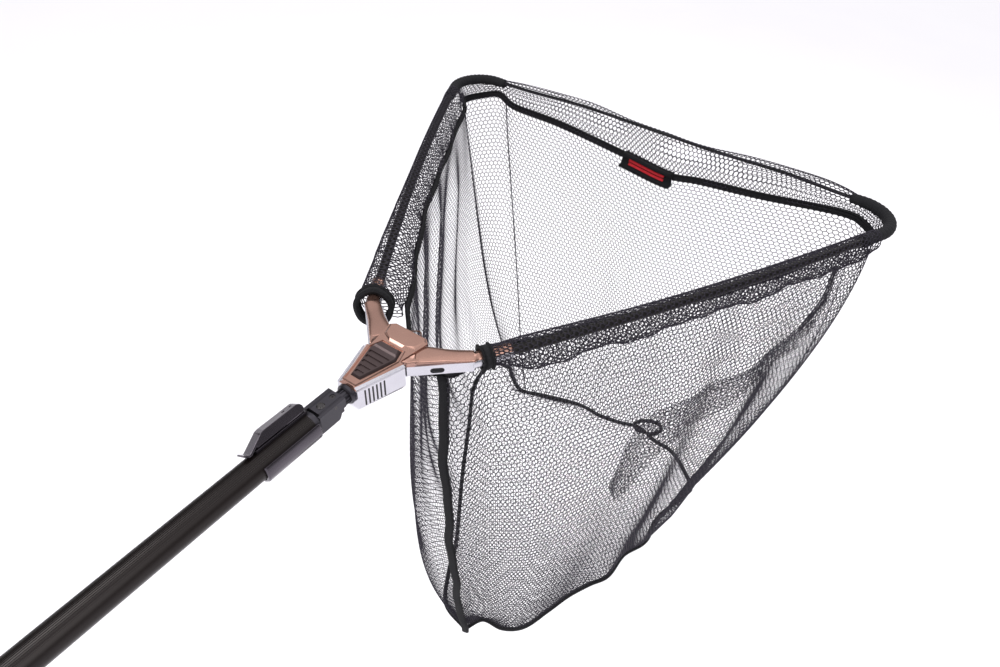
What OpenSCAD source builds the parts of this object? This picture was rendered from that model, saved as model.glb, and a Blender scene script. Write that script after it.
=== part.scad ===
// Folding triangular landing net: two arms on a spreader head, a hinged neck,
// a two-section handle and a sewn net bag.
// Origin: middle of the spreader head.  +Y runs from the handle to the net's
// front cord, +X is the right arm's side and +Z is square to the arms' plane.

/* [Arms] */
// Length along one arm, from the head's origin to its corner elbow
arm_length = 664; // [480:1:760]
// Heading of each arm at the head, away from +Y, in degrees
arm_heading = 33.48; // [28:0.01:38]
// How far each arm curves back inward over its length, in degrees
arm_turn = 8.2; // [0:0.1:12]
// Radius of the arm tube
arm_tube_r = 5.4; // [4.8:0.1:5.5]
// Sideways offset of each arm's centre line at the head
arm_start_x = 19.4; // [17:0.1:22]

/* [Net bag] */
// Depth of the bag's rear corner below the arms
bag_rear_depth = 700; // [450:1:760]
// Depth of the bag's two front corners below the arms
bag_front_depth = 450; // [300:1:500]
// Thickness of the net sheets
net_thickness = 2; // [1:0.1:3]
// Sideways sway of the bag's floor
bag_sway = 34; // [0:1:50]

/* [Handle] */
// Outer radius of the front tube
tube_r = 12; // [11:0.1:13]
// Wall of both tubes
tube_wall = 1.2; // [1:0.1:1.6]
// Length of the front tube
tube_length = 556; // [400:1:700]
// Radius of the foam grip
grip_r = 15; // [13:0.1:17]
// Length of the foam grip
grip_length = 150; // [100:1:180]

/* [Hinge] */
// Distance of the fold pin behind the origin
pin_back = 58; // [56:0.5:60]
// Height of the fold pin above the tube's centre line
pin_height = 8; // [7:0.5:9]

/* [Fits] */
// Radial clearance of pins in their holes
running = 0.05; // [0.02:0.01:0.1]
// Radial gap between pieces that are fixed together
fixed_gap = 0.03; // [0.01:0.01:0.05]

/* [Hidden] */
$fn = 64;
eps = 0.01;

// --- derived sizes -----------------------------------------------------------
arm_bend_r = arm_length / (arm_turn * PI / 180);
arm_centre = [arm_start_x - arm_bend_r * cos(arm_heading), arm_bend_r * sin(arm_heading)];
pin_y = -pin_back;
tube_front = -82;
tube_rear = tube_front - tube_length;
tube_bore_r = tube_r - tube_wall;
rivet_r = 1.5;
inner_r = tube_bore_r - 0.9;
collar_rear = tube_rear - 26;
grip_front = collar_rear - 14;
grip_rear = grip_front - grip_length;
inner_front = -330;
// head levels: top plate, bottom plate and the arm roots between them
shell_bottom = -20;
plate_under = 10.2;
plate_top = 12;
bridge_top = 13.6;
root_half = 10;
root_split = 4.6;
ferrule_r = 8.2;
ferrule_end = 128;
head_rear = -33;
// pivot of each arm, and its pin and eye
pivot = [15, 30];
pivot_pin_r = 3;
eye_r = 10.5;
// neck
neck_r = 7;
tongue_half = 7;
cheek_gap = 0.25;
cheek_out = 10.4;
// net rim, just below everything that swings with the arms
rim_z = -36;
rim_inset = 22;
elbow_r = 48;
elbow_turn = 90 + arm_heading - arm_turn;
elbow_straight = 12;
elbow_tube_r = arm_tube_r - 1.15;
wrap_r = 7.8;
cuff_at = 94;
sleeve_from = ferrule_end + 1.5;
wrap_gap = 0.15;
sleeve_to = arm_length - 50;

function mix(a, b, t) = a * (1 - t) + b * t;
// point on the right arm's centre line at length l, moved inward by d, height z
function arm_point(l, d = 0, z = 0) =
    let (a = -arm_heading + l / arm_bend_r * 180 / PI)
    [arm_centre[0] + (arm_bend_r - d) * cos(a), arm_centre[1] + (arm_bend_r - d) * sin(a), z];

// point on the right corner elbow's centre line, turned by angle, moved on by d
function elbow_point(angle, d = 0) =
    let (a0 = arm_turn - arm_heading, p = arm_point(arm_length))
    [p[0] - elbow_r * (cos(a0) - cos(a0 + angle)) - d * sin(a0 + angle),
        p[1] - elbow_r * (sin(a0) - sin(a0 + angle)) + d * cos(a0 + angle), 0];

// --- helpers -------------------------------------------------------------------
// profile drawn in X and Z, swept from y0 to y1
module along_y(y0, y1) {
    translate([0, y1, 0]) rotate([90, 0, 0]) linear_extrude(y1 - y0) children();
}
module rod_y(r, y0, y1) {
    translate([0, y0, 0]) rotate([-90, 0, 0]) cylinder(r = r, h = y1 - y0);
}
module rod_x(r, x0, x1) {
    translate([x0, 0, 0]) rotate([0, 90, 0]) cylinder(r = r, h = x1 - x0);
}
module both_sides() {
    children();
    mirror([1, 0, 0]) children();
}
// turns local +Z to the direction at angle a around the tube, from +X towards +Z
module at_angle(a) {
    rotate([0, 90 - a, 0]) children();
}
// profile (X outward from the bend's middle, Z up) swept along the right arm
module along_arm(l0, l1) {
    turn = (l1 - l0) / arm_bend_r * 180 / PI;
    translate([arm_centre[0], arm_centre[1], 0])
        rotate([0, 0, -arm_heading + l0 / arm_bend_r * 180 / PI])
            rotate_extrude(angle = turn, $fn = 720) translate([arm_bend_r, 0]) children();
}
module at_arm(l) {
    p = arm_point(l);
    translate(p) rotate([0, 0, -arm_heading + l / arm_bend_r * 180 / PI]) children();
}
module ring_2d(r_out, r_in) {
    difference() {
        circle(r = r_out, $fn = 40);
        circle(r = r_in, $fn = 40);
    }
}
// thin closed sheet through a grid of points, thickened by the vector n
module sheet(grid, n) {
    rows = len(grid);
    cols = len(grid[0]);
    count = rows * cols;
    front = [for (row = grid) for (p = row) p];
    back = [for (p = front) p + n];
    function id(i, j) = i * cols + j;
    top = [for (i = [0:rows - 2]) for (j = [0:cols - 2])
        each [[id(i, j), id(i, j + 1), id(i + 1, j + 1)], [id(i, j), id(i + 1, j + 1), id(i + 1, j)]]];
    under = [for (f = top) [f[2] + count, f[1] + count, f[0] + count]];
    rim = concat(
        [for (j = [0:cols - 2]) [id(0, j), id(0, j + 1)]],
        [for (i = [0:rows - 2]) [id(i, cols - 1), id(i + 1, cols - 1)]],
        [for (j = [cols - 1:-1:1]) [id(rows - 1, j), id(rows - 1, j - 1)]],
        [for (i = [rows - 1:-1:1]) [id(i, 0), id(i - 1, 0)]]);
    walls = [for (e = rim) each [[e[1], e[0], e[0] + count], [e[1], e[0] + count, e[1] + count]]];
    polyhedron(points = concat(front, back), faces = concat(top, under, walls), convexity = 4);
}
// round cord through a list of points; up is a direction the cord never follows
module cord(points, r, up = [0, 0, 1], sides = 8) {
    last = len(points) - 1;
    function unit(v) = v / norm(v);
    function along(i) = unit(points[min(i + 1, last)] - points[max(i - 1, 0)]);
    rings = [for (i = [0:last])
        let (t = along(i), u = unit(cross(t, up)), v = cross(t, u))
        for (k = [0:sides - 1]) points[i] + r * (cos(k * 360 / sides) * u + sin(k * 360 / sides) * v)];
    walls = [for (i = [0:last - 1]) for (k = [0:sides - 1])
        let (a = i * sides + k, b = i * sides + (k + 1) % sides)
        each [[a, b, b + sides], [a, b + sides, a + sides]]];
    caps = [[for (k = [sides - 1:-1:0]) k], [for (k = [0:sides - 1]) last * sides + k]];
    polyhedron(points = rings, faces = concat(walls, caps), convexity = 6);
}
// points of a helix about +Z
function helix(radius, pitch, turns, steps = 12) = [for (i = [0:turns * steps])
    [radius * cos(i * 360 / steps), radius * sin(i * 360 / steps), pitch * i / steps]];
// flat plate with a chamfered top, from a convex outline and its smaller copy
module chamfered(outline, inner, z0, z1, drop) {
    hull() {
        translate([0, 0, z0]) linear_extrude(z1 - drop - z0) polygon(outline);
        translate([0, 0, z1 - eps]) linear_extrude(eps) polygon(inner);
    }
}
function mirrored(half) = concat(half, [for (i = [len(half) - 1:-1:0]) [-half[i][0], half[i][1]]]);

// --- handle --------------------------------------------------------------------
module outer_tube() {
    rib_from = 60;
    rib_step = 7;
    ribs = 13;
    rib_height = 0.5;
    color("#26221f") difference() {
        along_y(tube_rear, tube_front) difference() {
            union() {
                circle(r = tube_r);
                for (i = [0:ribs - 1]) rotate(rib_from + i * rib_step)
                    translate([tube_r - 0.8, -0.45]) square([0.8 + rib_height, 0.9]);
            }
            circle(r = tube_bore_r);
        }
        for (y = [tube_front - 12, tube_front - 26]) translate([0, y, 0])
            rod_x(rivet_r + fixed_gap, -14, 14);
    }
}
module hinge_fork() {
    plug_end = tube_front - 36;
    wall_front = -77;
    color("#1d1d1f") difference() {
        union() {
            rod_y(tube_bore_r - running, plug_end, tube_front);
            rod_y(tube_r - 0.2, tube_front, wall_front);
            // two cheeks with a round lower front corner
            intersection() {
                translate([-cheek_out, wall_front - eps, -10]) cube([2 * cheek_out, 32, 21]);
                union() {
                    translate([0, -66, 0]) rod_x(14.5, -cheek_out - 1, cheek_out + 1);
                    translate([-14, wall_front - 1, 0]) cube([28, 32, 12]);
                    translate([-14, wall_front - 1, -12]) cube([28, 12, 14]);
                }
            }
        }
        // slot for the tongue, open to the front, the top and the bottom
        translate([-tongue_half - cheek_gap, wall_front, -20])
            cube([2 * (tongue_half + cheek_gap), 60, 60]);
        translate([0, pin_y, pin_height]) rod_x(1.8 + running, -14, 14);
        for (y = [tube_front - 12, tube_front - 26]) translate([0, y, 0]) rod_x(rivet_r + fixed_gap, -14, 14);
        rod_y(6, plug_end - 1, wall_front - 6);
    }
}
module hinge_pin() {
    color("#8b8c8e") translate([0, pin_y, pin_height]) rod_x(1.8, -cheek_out, cheek_out);
}
module fork_rivets() {
    color("#8b8c8e") for (y = [tube_front - 12, tube_front - 26]) translate([0, y, 0])
        rod_x(rivet_r, -tube_r, tube_r);
}
// split plastic collet at the tube's rear end
module lock_collet() {
    color("#2b2b2d") difference() {
        union() {
            rod_y(tube_bore_r - running, tube_rear, tube_rear + 20);
            rod_y(tube_r - 0.2, tube_rear - 20, tube_rear);
        }
        rod_y(inner_r + running, tube_rear - 21, tube_rear + 21);
        for (a = [0:60:300]) at_angle(a) translate([-0.6, tube_rear - 21, 0]) cube([1.2, 14, 20]);
    }
}
module twist_collar() {
    collar_r = 15.5;
    color("#1a1a1b") difference() {
        union() {
            rod_y(collar_r, collar_rear + 2, tube_rear + 8);
            translate([0, collar_rear + 2, 0]) rotate([90, 0, 0])
                cylinder(r1 = collar_r, r2 = collar_r - 2, h = 2);
        }
        rod_y(tube_r + 0.6, tube_rear - 20.5, tube_rear + 9);
        rod_y(inner_r + 0.4, collar_rear - 1, tube_rear);
        for (a = [0:20:340]) at_angle(a) translate([0, collar_rear - 1, collar_r + 0.6])
            rod_y(1.4, 5, 30);
    }
}
module inner_tube() {
    color("#3a3634") difference() {
        rod_y(inner_r, grip_rear + 2, inner_front);
        rod_y(inner_r - tube_wall, grip_rear + 1, inner_front + 1);
    }
}
module guide_bush() {
    color("#e4e2dc") difference() {
        union() {
            rod_y(tube_bore_r - running, inner_front, inner_front + 6);
            rod_y(inner_r - tube_wall, inner_front - 18, inner_front);
        }
        rod_y(5.5, inner_front - 19, inner_front + 7);
    }
}
module grip() {
    groove_r = 2;
    color("#171718") difference() {
        union() {
            rod_y(grip_r, grip_rear + 12, grip_front - 4);
            translate([0, grip_front - 4, 0]) rotate([-90, 0, 0])
                cylinder(r1 = grip_r, r2 = grip_r - 3, h = 4);
        }
        rod_y(inner_r, grip_rear, grip_front + 1);
        for (i = [0:3]) translate([0, grip_front - 24 - i * 8, 0]) rotate([90, 0, 0])
            rotate_extrude() translate([grip_r + 1, 0]) circle(r = groove_r, $fn = 24);
    }
}
module butt_cap() {
    color("#1b1b1c") difference() {
        union() {
            rod_y(grip_r, grip_rear, grip_rear + 12);
            rod_y(grip_r - 3, grip_rear - 6, grip_rear);
            translate([0, grip_rear - 18, 0]) rod_y(8, 0, 12 + eps);
        }
        rod_y(inner_r, grip_rear + 2, grip_rear + 13);
        // lanyard hole
        translate([0, grip_rear - 12, 0]) rod_x(3, -10, 10);
    }
}

// --- belt clip slider ------------------------------------------------------------
slider_front = -79.5;
slider_rear = -141;
slider_in = tube_r + 0.6;
slider_out = 15.6;
clip_angle = 121;
clip_half = 6;
clip_rivet_at = [-88, -96];
clip_rivet_r = 1.2;
module slider_sleeve() {
    open_from = 37;
    open_to = 99;
    color("#3a3a40") difference() {
        union() {
            rod_y(slider_out, slider_rear + 1.5, slider_front - 1.5);
            translate([0, slider_front - 1.5, 0]) rotate([-90, 0, 0])
                cylinder(r1 = slider_out, r2 = slider_out - 1.5, h = 1.5);
            translate([0, slider_rear + 1.5, 0]) rotate([90, 0, 0])
                cylinder(r1 = slider_out, r2 = slider_out - 1.5, h = 1.5);
            // raised bed under the clip's foot
            at_angle(clip_angle) translate([-4, slider_front - 21, 12]) cube([8, 18, 5]);
        }
        rod_y(slider_in, slider_rear - 1, slider_front + 1);
        // open top, where the ribbed tube shows
        along_y(slider_rear - 1, slider_front + 1)
            polygon([[0, 0], [30 * cos(open_from), 30 * sin(open_from)], [14, 34],
                [30 * cos(open_to), 30 * sin(open_to)]]);
        // notch where the clip's rear end dips to the tube
        at_angle(clip_angle) translate([-clip_half - 1, slider_rear - 1, slider_in - 1])
            cube([2 * clip_half + 2, 6, 8]);
        // pocket for the friction pad
        at_angle(270) translate([-4, slider_rear + 12, slider_in - 1]) cube([8, 30, 2.4]);
        for (y = clip_rivet_at) at_angle(clip_angle) translate([0, y, 0])
            cylinder(r = clip_rivet_r + fixed_gap, h = 30);
    }
}
module slider_pad() {
    color("#6d6d6d") at_angle(270)
        translate([-3.9, slider_rear + 12.1, slider_in - 0.4]) cube([7.8, 29.8, 1.7]);
}
// hollow blade along the tube, which slopes to a flared lip at the rear
module belt_clip() {
    seat = 17.05;
    wall = 1.5;
    outside = [[-80.5, seat], [-80.5, 21.4], [-82, 23.8], [-84.5, 25.2], [-121, 25.4], [-124.5, 24.8],
        [-126.5, 23.6], [-141, 15.8], [-142.3, 15.6], [-146, 18.4]];
    inside = [[-147, 17], [-143, 13.7], [-140.6, 13.6], [-125, 22.3], [-122.5, 23.4],
        [-101.5, 23.4], [-101.5, seat]];
    skirt = [[-81.5, 16], [-81.5, 22], [-84.5, 24.6], [-121, 24.8], [-125.5, 23.6], [-133, 19.2], [-133, 16]];
    color("#3b3a40") at_angle(clip_angle) difference() {
        union() {
            rotate([90, 0, 90]) translate([0, 0, -clip_half]) linear_extrude(2 * clip_half)
                polygon(concat(outside, inside));
            for (x = [-clip_half, clip_half - wall]) translate([x, 0, 0])
                rotate([90, 0, 90]) linear_extrude(wall) polygon(skirt);
        }
        for (y = clip_rivet_at) translate([0, y, 10]) cylinder(r = clip_rivet_r + fixed_gap, h = 20);
    }
}
module clip_rivets() {
    color("#77777a") at_angle(clip_angle) for (y = clip_rivet_at)
        translate([0, y, slider_in + 0.2]) cylinder(r = clip_rivet_r, h = 10);
}

// --- hinged neck -------------------------------------------------------------------
button_y = -66;
screw_y = -51.5;
module hinge_tongue() {
    color("#202022") difference() {
        union() {
            translate([-tongue_half, -62, -9]) cube([2 * tongue_half, 16, 20]);
            translate([-tongue_half, -74, -2]) cube([2 * tongue_half, 20, 13]);
            translate([0, -46, 0]) rod_y(8.5, 0, 2);
        }
        translate([0, pin_y, pin_height]) rod_x(1.8 + running, -14, 14);
        // well for the lock button and its spring
        translate([0, button_y, 0]) cylinder(r = 4.05, h = 20);
        // countersunk hole for the tongue screw
        translate([0, screw_y, -10]) cylinder(r = 1.3 + fixed_gap, h = 30);
        translate([0, screw_y, 9]) cylinder(r = 2.9, h = 4);
        // socket for the neck rod
        rod_y(4, -50, -43);
        // fine groove along each side of the top face
        for (x = [-5.9, 5.5]) translate([x, -75, 10.4]) cube([0.4, 30, 1]);
    }
}
module tongue_screw() {
    color("#55565a") translate([0, screw_y, 0]) difference() {
        union() {
            translate([0, 0, 4.2]) cylinder(r = 1.3, h = 5);
            translate([0, 0, 9]) cylinder(r = 2.6, h = 1.3);
        }
        translate([0, 0, 9.6]) cylinder(r = 1.1, h = 2, $fn = 6);
    }
}
module hinge_button() {
    color("#c8c8ca") translate([0, button_y, 0]) {
        translate([0, 0, 4.5]) cylinder(r = 4, h = 6.8);
        translate([0, 0, 11.3]) cylinder(r1 = 4, r2 = 2.6, h = 1);
        for (a = [0:45:315]) rotate([0, 0, a]) translate([2.6, 0, 11]) cylinder(r = 0.6, h = 1.5, $fn = 16);
    }
}
module button_spring() {
    color("#9a9a9c") translate([0, button_y, 0.5]) cord(helix(3, 1.1, 3), 0.35, sides = 6);
}
// splined rod between the tongue and the head
module neck_rod() {
    splines = 16;
    color("#232325") difference() {
        union() {
            rod_y(neck_r, -44 + eps, -22);
            rod_y(4 - running, -50, -43);
            for (i = [0:splines - 1]) at_angle(i * 360 / splines)
                translate([-0.5, -44 + eps, neck_r - 1]) cube([1, 8, 1.9]);
        }
        translate([0, -27, 0]) cylinder(r = 1.6, h = 20, center = true);
    }
}
module neck_ring() {
    color("#161617") difference() {
        union() {
            rod_y(10.4, -36.2, -33.2);
            translate([0, -36.2, 0]) rotate([90, 0, 0]) cylinder(r1 = 10.4, r2 = 9.2, h = 1.2);
        }
        rod_y(neck_r + 0.01, -38, -32);
        for (i = [0:15]) at_angle(i * 22.5) translate([-0.55, -40, neck_r - 1]) cube([1.1, 8, 2]);
    }
}

// --- spreader head -----------------------------------------------------------------
body_outline = mirrored([[12.5, head_rear], [15, -14], [22.5, 8], [27, 17], [24, 18.6]]);
top_outline = mirrored([[10, head_rear], [14.5, -12], [22, 9], [26, 18.6]]);
top_inner = mirrored([[6.5, head_rear + 1.5], [11.5, -12], [18, 8], [22, 18.6]]);
bridge_outline = mirrored([[19, 18], [24.6, 54], [19.5, 58.5]]);
bridge_inner = mirrored([[9.5, 37], [17.5, 42], [21.5, 53], [18.5, 56.5]]);
split_z = 8.4;
shell_taper_z = -14;
head_screw_at = [[0, -27], [-13.5, 13], [13.5, 13]];
head_screw_r = 1.5;
head_screw_top = 9.5;
pin_bottom = -11.8;
pin_top = 11;
module head_cut() {
    // pivots, screw holes, neck bore and the two arm pockets
    both_sides() translate([pivot[0], pivot[1], pin_bottom - 10])
        cylinder(r = pivot_pin_r + fixed_gap, h = 10 + pin_top - pin_bottom + eps);
    rod_y(neck_r + fixed_gap, head_rear - 1, -21.9);
    for (p = head_screw_at) translate([p[0], p[1], shell_bottom - 1])
        cylinder(r = head_screw_r + fixed_gap, h = head_screw_top + 0.1 - shell_bottom + 1);
}
module head_upper_shell() {
    color("#a9705a") difference() {
        union() {
            chamfered(top_outline, top_inner, split_z, plate_top, 3.4);
            translate([0, 0, plate_under])
                linear_extrude(plate_top - plate_under) polygon(bridge_outline);
            // raised bridge with a bevel all round
            hull() {
                translate([0, 0, plate_top - eps]) linear_extrude(eps)
                    polygon(mirrored([[8, 34.5], [19.5, 40], [23.6, 53.5], [19, 58]]));
                translate([0, 0, bridge_top - eps]) linear_extrude(eps) polygon(bridge_inner);
            }
            // low frame around the thumb catch
            difference() {
                hull() {
                    translate([0, 0, plate_top - eps]) linear_extrude(eps)
                        polygon(mirrored([[8.5, -30.5], [19.5, 17], [14.5, 32.5]]));
                    translate([0, 0, 13.2]) linear_extrude(eps)
                        polygon(mirrored([[7.8, -29.7], [18.7, 17], [14, 31.8]]));
                }
                translate([0, 0, plate_top]) linear_extrude(5)
                    polygon(mirrored([[6.9, -28.7], [17.9, 17], [13.2, 30.8]]));
            }
        }
        head_cut();
        // slot that the catch's foot slides in
        translate([-3, -9, 0]) cube([6, 14.3, 20]);
        // clearance for the arm roots
        translate([-60, 18.8, -20]) cube([120, 60, 20 + plate_under]);
    }
}
module head_lower_shell() {
    rib_first = -25.5;
    rib_pitch = 4;
    rib_lean = 1.17;
    color("#c4c3c9") difference() {
        union() {
            hull() {
                translate([0, 0, shell_taper_z]) linear_extrude(split_z - shell_taper_z)
                    polygon(body_outline);
                translate([0, 0, shell_bottom]) linear_extrude(eps)
                    polygon(mirrored([[9, head_rear + 2], [12, -14], [19, 7], [23, 16]]));
            }
            // plate under the arm roots
            translate([0, 0, -12]) linear_extrude(12 - plate_under)
                polygon(mirrored([[23, 16], [20.5, 23], [24.6, 54], [19.5, 58]]));
            // post that spaces the two plates at the front
            translate([0, 54, -12]) cylinder(r = 2.2, h = 12 + plate_under);
        }
        head_cut();
        // latch cavity
        translate([-9.5, -18, -8]) cube([19, 36.9, 20]);
        // grip ribs are left between upright grooves on both sides
        both_sides() for (i = [0:5]) translate([12.4 + i * rib_lean, rib_first + i * rib_pitch, -13.5])
            rotate([0, 0, -16]) cube([6, 1.6, 20]);
        // countersinks for the screws, from below
        for (p = head_screw_at) translate([p[0], p[1], shell_bottom - 1]) cylinder(r = 2.9, h = 3);
    }
}
module head_screws() {
    color("#8d8d90") for (p = head_screw_at) translate([p[0], p[1], shell_bottom]) {
        translate([0, 0, 1.5]) cylinder(r = head_screw_r, h = head_screw_top - shell_bottom - 1.5);
        difference() {
            cylinder(r = 2.7, h = 1.9);
            translate([0, 0, -0.5]) cylinder(r = 1.2, h = 1.7, $fn = 6);
        }
    }
}
module arm_pivot_pins() {
    color("#909094") both_sides() translate([pivot[0], pivot[1], 0])
        translate([0, 0, pin_bottom]) cylinder(r = pivot_pin_r, h = pin_top - pin_bottom);
}
module net_tie_cord() {
    color("#5a3a2c") translate([1, 59.1, 6]) rotate_extrude() translate([8.5, 0])
        circle(r = 0.8, $fn = 20);
}
module release_catch() {
    rear_y = -22;
    rear_half = 5.6;
    front_half = 16.5;
    // half-width of the catch's plan at a station y
    function half_at(y) = mix(rear_half, front_half, (y - rear_y) / (17 - rear_y));
    color("#4b4646") difference() {
        union() {
            hull() {
                translate([0, 0, plate_top + 0.15]) linear_extrude(eps)
                    polygon(mirrored([[rear_half, rear_y], [front_half, 16], [12.2, 29.5]]));
                translate([0, 0, 14.6]) linear_extrude(eps)
                    polygon(mirrored([[rear_half - 1, rear_y + 1.4], [front_half - 1.6, 15.5], [11.5, 27.5]]));
            }
            // raised lip for the thumb along the front edge
            hull() {
                translate([0, 0, 14.5]) linear_extrude(eps)
                    polygon(mirrored([[14.2, 18.2], [14.4, 19.5], [11.4, 27.4]]));
                translate([0, 0, 16]) linear_extrude(eps)
                    polygon(mirrored([[12.6, 20.4], [12.8, 21], [10.6, 26.2]]));
            }
            translate([-2.9, -3, 3.5]) cube([5.8, 8, 9]);
        }
        // five cross grooves
        for (i = [0:4]) {
            y = rear_y + 4 + i * 6.8;
            w = half_at(y) - 2.2;
            translate([-w, y, 13.4]) cube([2 * w, 3.4, 3]);
        }
        translate([0, 1, 0]) cylinder(r = 1.2 + fixed_gap, h = 8.5);
    }
}
// latch slide: its two teeth stand just behind the arms' eyes
module lock_plate() {
    color("#9b9ba0") difference() {
        union() {
            translate([-8, -6, 0.4]) cube([16, 21, 3]);
            both_sides() translate([4.5, 14.9, 0.4]) cube([3.5, 3.2, 3]);
        }
        translate([0, 1, -1]) cylinder(r = 1.2 + fixed_gap, h = 6);
        // the teeth's tips follow the eyes
        both_sides() translate([pivot[0], pivot[1], -1]) cylinder(r = eye_r + 0.4, h = 6);
    }
}
module catch_screw() {
    color("#77777b") translate([0, 1, 0]) {
        translate([0, 0, -0.9]) cylinder(r = 2.2, h = 1.2);
        translate([0, 0, 0.2]) cylinder(r = 1.2, h = 8);
    }
}
module catch_spring() {
    color("#a5a5a8") translate([0, -17.4, 2]) rotate([-90, 0, 0])
        cord(helix(2.2, 1.8, 6), 0.35, sides = 6);
}

// --- arms, drawn for the right side ---------------------------------------------------
// the root leaves the head at a wider angle than the tube, and bends at the cuff
root_end = arm_point(88);
bar_start = [22, 38];
bar_dir = [root_end[0] - bar_start[0], root_end[1] - bar_start[1]] / norm([root_end[0] - bar_start[0],
    root_end[1] - bar_start[1]]);
bar_side = [bar_dir[1], -bar_dir[0]];
function bar_at(t, w) = let (p = mix(bar_start, [root_end[0], root_end[1]], t)) p + bar_side * w;
root_plan = [[9, 38.6], [8.5, 22.5], [24.5, 21.8], bar_at(0.06, 11.8), bar_at(0.5, 9), bar_at(1, 8.2),
    bar_at(1, -8.2), bar_at(0.55, -9.2), bar_at(0.2, -12), [17, 46.6]];
cover_plan = [[13, 36], [12, 25.5], [23.5, 25], bar_at(0.1, 9.2), bar_at(0.5, 6.4), bar_at(1, 5),
    bar_at(1, -5), bar_at(0.55, -6.4), bar_at(0.22, -9), [20, 46.5]];
// half of the round ferrule that the arm tube sits in, from z0 up to z1
module ferrule(z0, z1) {
    along_arm(84, ferrule_end) intersection() {
        circle(r = ferrule_r, $fn = 64);
        translate([-10, z0]) square([20, z1 - z0]);
    }
}
module arm_root_body() {
    difference() {
        union() {
            hull() {
                translate([0, 0, -root_half]) linear_extrude(eps) polygon(cover_plan);
                translate([0, 0, -root_half + 2.4]) linear_extrude(root_half - 2.4 + root_split)
                    polygon(root_plan);
            }
            translate([pivot[0], pivot[1], -root_half]) cylinder(r = eye_r, h = root_half + root_split);
            ferrule(-root_half, root_split);
        }
        translate([pivot[0], pivot[1], -20]) cylinder(r = pivot_pin_r + running, h = 40);
        along_arm(80, ferrule_end + 1) circle(r = arm_tube_r + fixed_gap, $fn = 64);
        // oval through-hole across the root
        translate(concat(bar_at(0.37, 0), [-2.6])) rotate([0, 0, atan2(bar_dir[1], bar_dir[0])]) {
            for (x = [-3.6, 3.6]) translate([x, 0, 0]) rotate([90, 0, 0])
                cylinder(r = 3.4, h = 40, center = true);
            cube([7.2, 40, 6.8], center = true);
        }
    }
}
module arm_root_cover() {
    difference() {
        union() {
            hull() {
                translate([0, 0, root_split]) linear_extrude(1.6) polygon(root_plan);
                translate([0, 0, root_half - eps]) linear_extrude(eps) polygon(cover_plan);
            }
            translate([pivot[0], pivot[1], root_split]) cylinder(r = eye_r, h = root_half - root_split);
            ferrule(root_split, root_half);
        }
        translate([pivot[0], pivot[1], -20]) cylinder(r = pivot_pin_r + running, h = 40);
        along_arm(80, ferrule_end + 1) circle(r = arm_tube_r + fixed_gap, $fn = 64);
    }
}
module arm_tube() {
    along_arm(82, arm_length) ring_2d(arm_tube_r, arm_tube_r - 1.1);
}
// bent corner piece that turns from the arm towards the front cord
module along_elbow(angle) {
    at_arm(arm_length) translate([-elbow_r, 0, 0]) rotate_extrude(angle = angle)
        translate([elbow_r, 0]) children();
}
// its short straight end, which holds the front cord
module elbow_end(r) {
    translate(elbow_point(elbow_turn)) rod_x(r, -elbow_straight, 0.4);
}
module tip_elbow() {
    along_elbow(elbow_turn) circle(r = elbow_tube_r, $fn = 40);
    along_arm(arm_length - 26, arm_length + 0.5) circle(r = elbow_tube_r, $fn = 40);
    elbow_end(elbow_tube_r);
}
module corner_wrap() {
    along_elbow(elbow_turn - 2) ring_2d(wrap_r, elbow_tube_r + wrap_gap);
    along_arm(arm_length - 36, arm_length + 0.5) ring_2d(wrap_r + 0.3, arm_tube_r + fixed_gap);
}
// loose sleeve of netting: it lies over the tube and hangs to the hem tape
sleeve_loop = [[0, 7.4], [5.5, 5.4], [9, -2], [10.5, -16], [6, -28], [-3, -32], [-13, -31], [-20, -25],
    [-15, -9], [-7, 4.6]];
sleeve_mid = [-3, -12];
module arm_sleeve() {
    along_arm(sleeve_from, sleeve_to) difference() {
        polygon(sleeve_loop);
        polygon([for (p = sleeve_loop) sleeve_mid + (p - sleeve_mid) * 0.93]);
    }
}
module hem_tape() {
    along_arm(sleeve_from, sleeve_to) translate([-rim_inset - 0.5, -26]) square([2, 9], center = true);
}
module snug_cuff() {
    along_arm(cuff_at + 1.5, cuff_at + 11.5) ring_2d(13.6, 9.8);
}
module loose_cuff() {
    at_arm(cuff_at + 5) translate([0, 0, -3]) rotate([-12, 0, 0]) rotate([-90, 0, 0])
        linear_extrude(10, center = true) ring_2d(15.6, 13.3);
}
module right_arm_root() { color("#bdbcc2") arm_root_body(); }
module right_arm_cover() { color("#a9705a") arm_root_cover(); }
module right_arm_tube() { color("#8f7468") arm_tube(); }
module right_tip_elbow() { color("#19191a") tip_elbow(); }
module right_corner_wrap() { color("#101010") corner_wrap(); }
module right_cuff() { color("#131313") snug_cuff(); }
module right_arm_sleeve() { color("#3a3a3d") arm_sleeve(); }
module right_hem_tape() { color("#151515") hem_tape(); }
module left_arm_root() { color("#bdbcc2") mirror([1, 0, 0]) arm_root_body(); }
module left_arm_cover() { color("#a9705a") mirror([1, 0, 0]) arm_root_cover(); }
module left_arm_tube() { color("#8f7468") mirror([1, 0, 0]) arm_tube(); }
module left_tip_elbow() { color("#19191a") mirror([1, 0, 0]) tip_elbow(); }
module left_corner_wrap() { color("#101010") mirror([1, 0, 0]) corner_wrap(); }
module left_cuff() { color("#131313") mirror([1, 0, 0]) loose_cuff(); }
module left_arm_sleeve() { color("#3a3a3d") mirror([1, 0, 0]) arm_sleeve(); }
module left_hem_tape() { color("#151515") mirror([1, 0, 0]) hem_tape(); }

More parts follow.
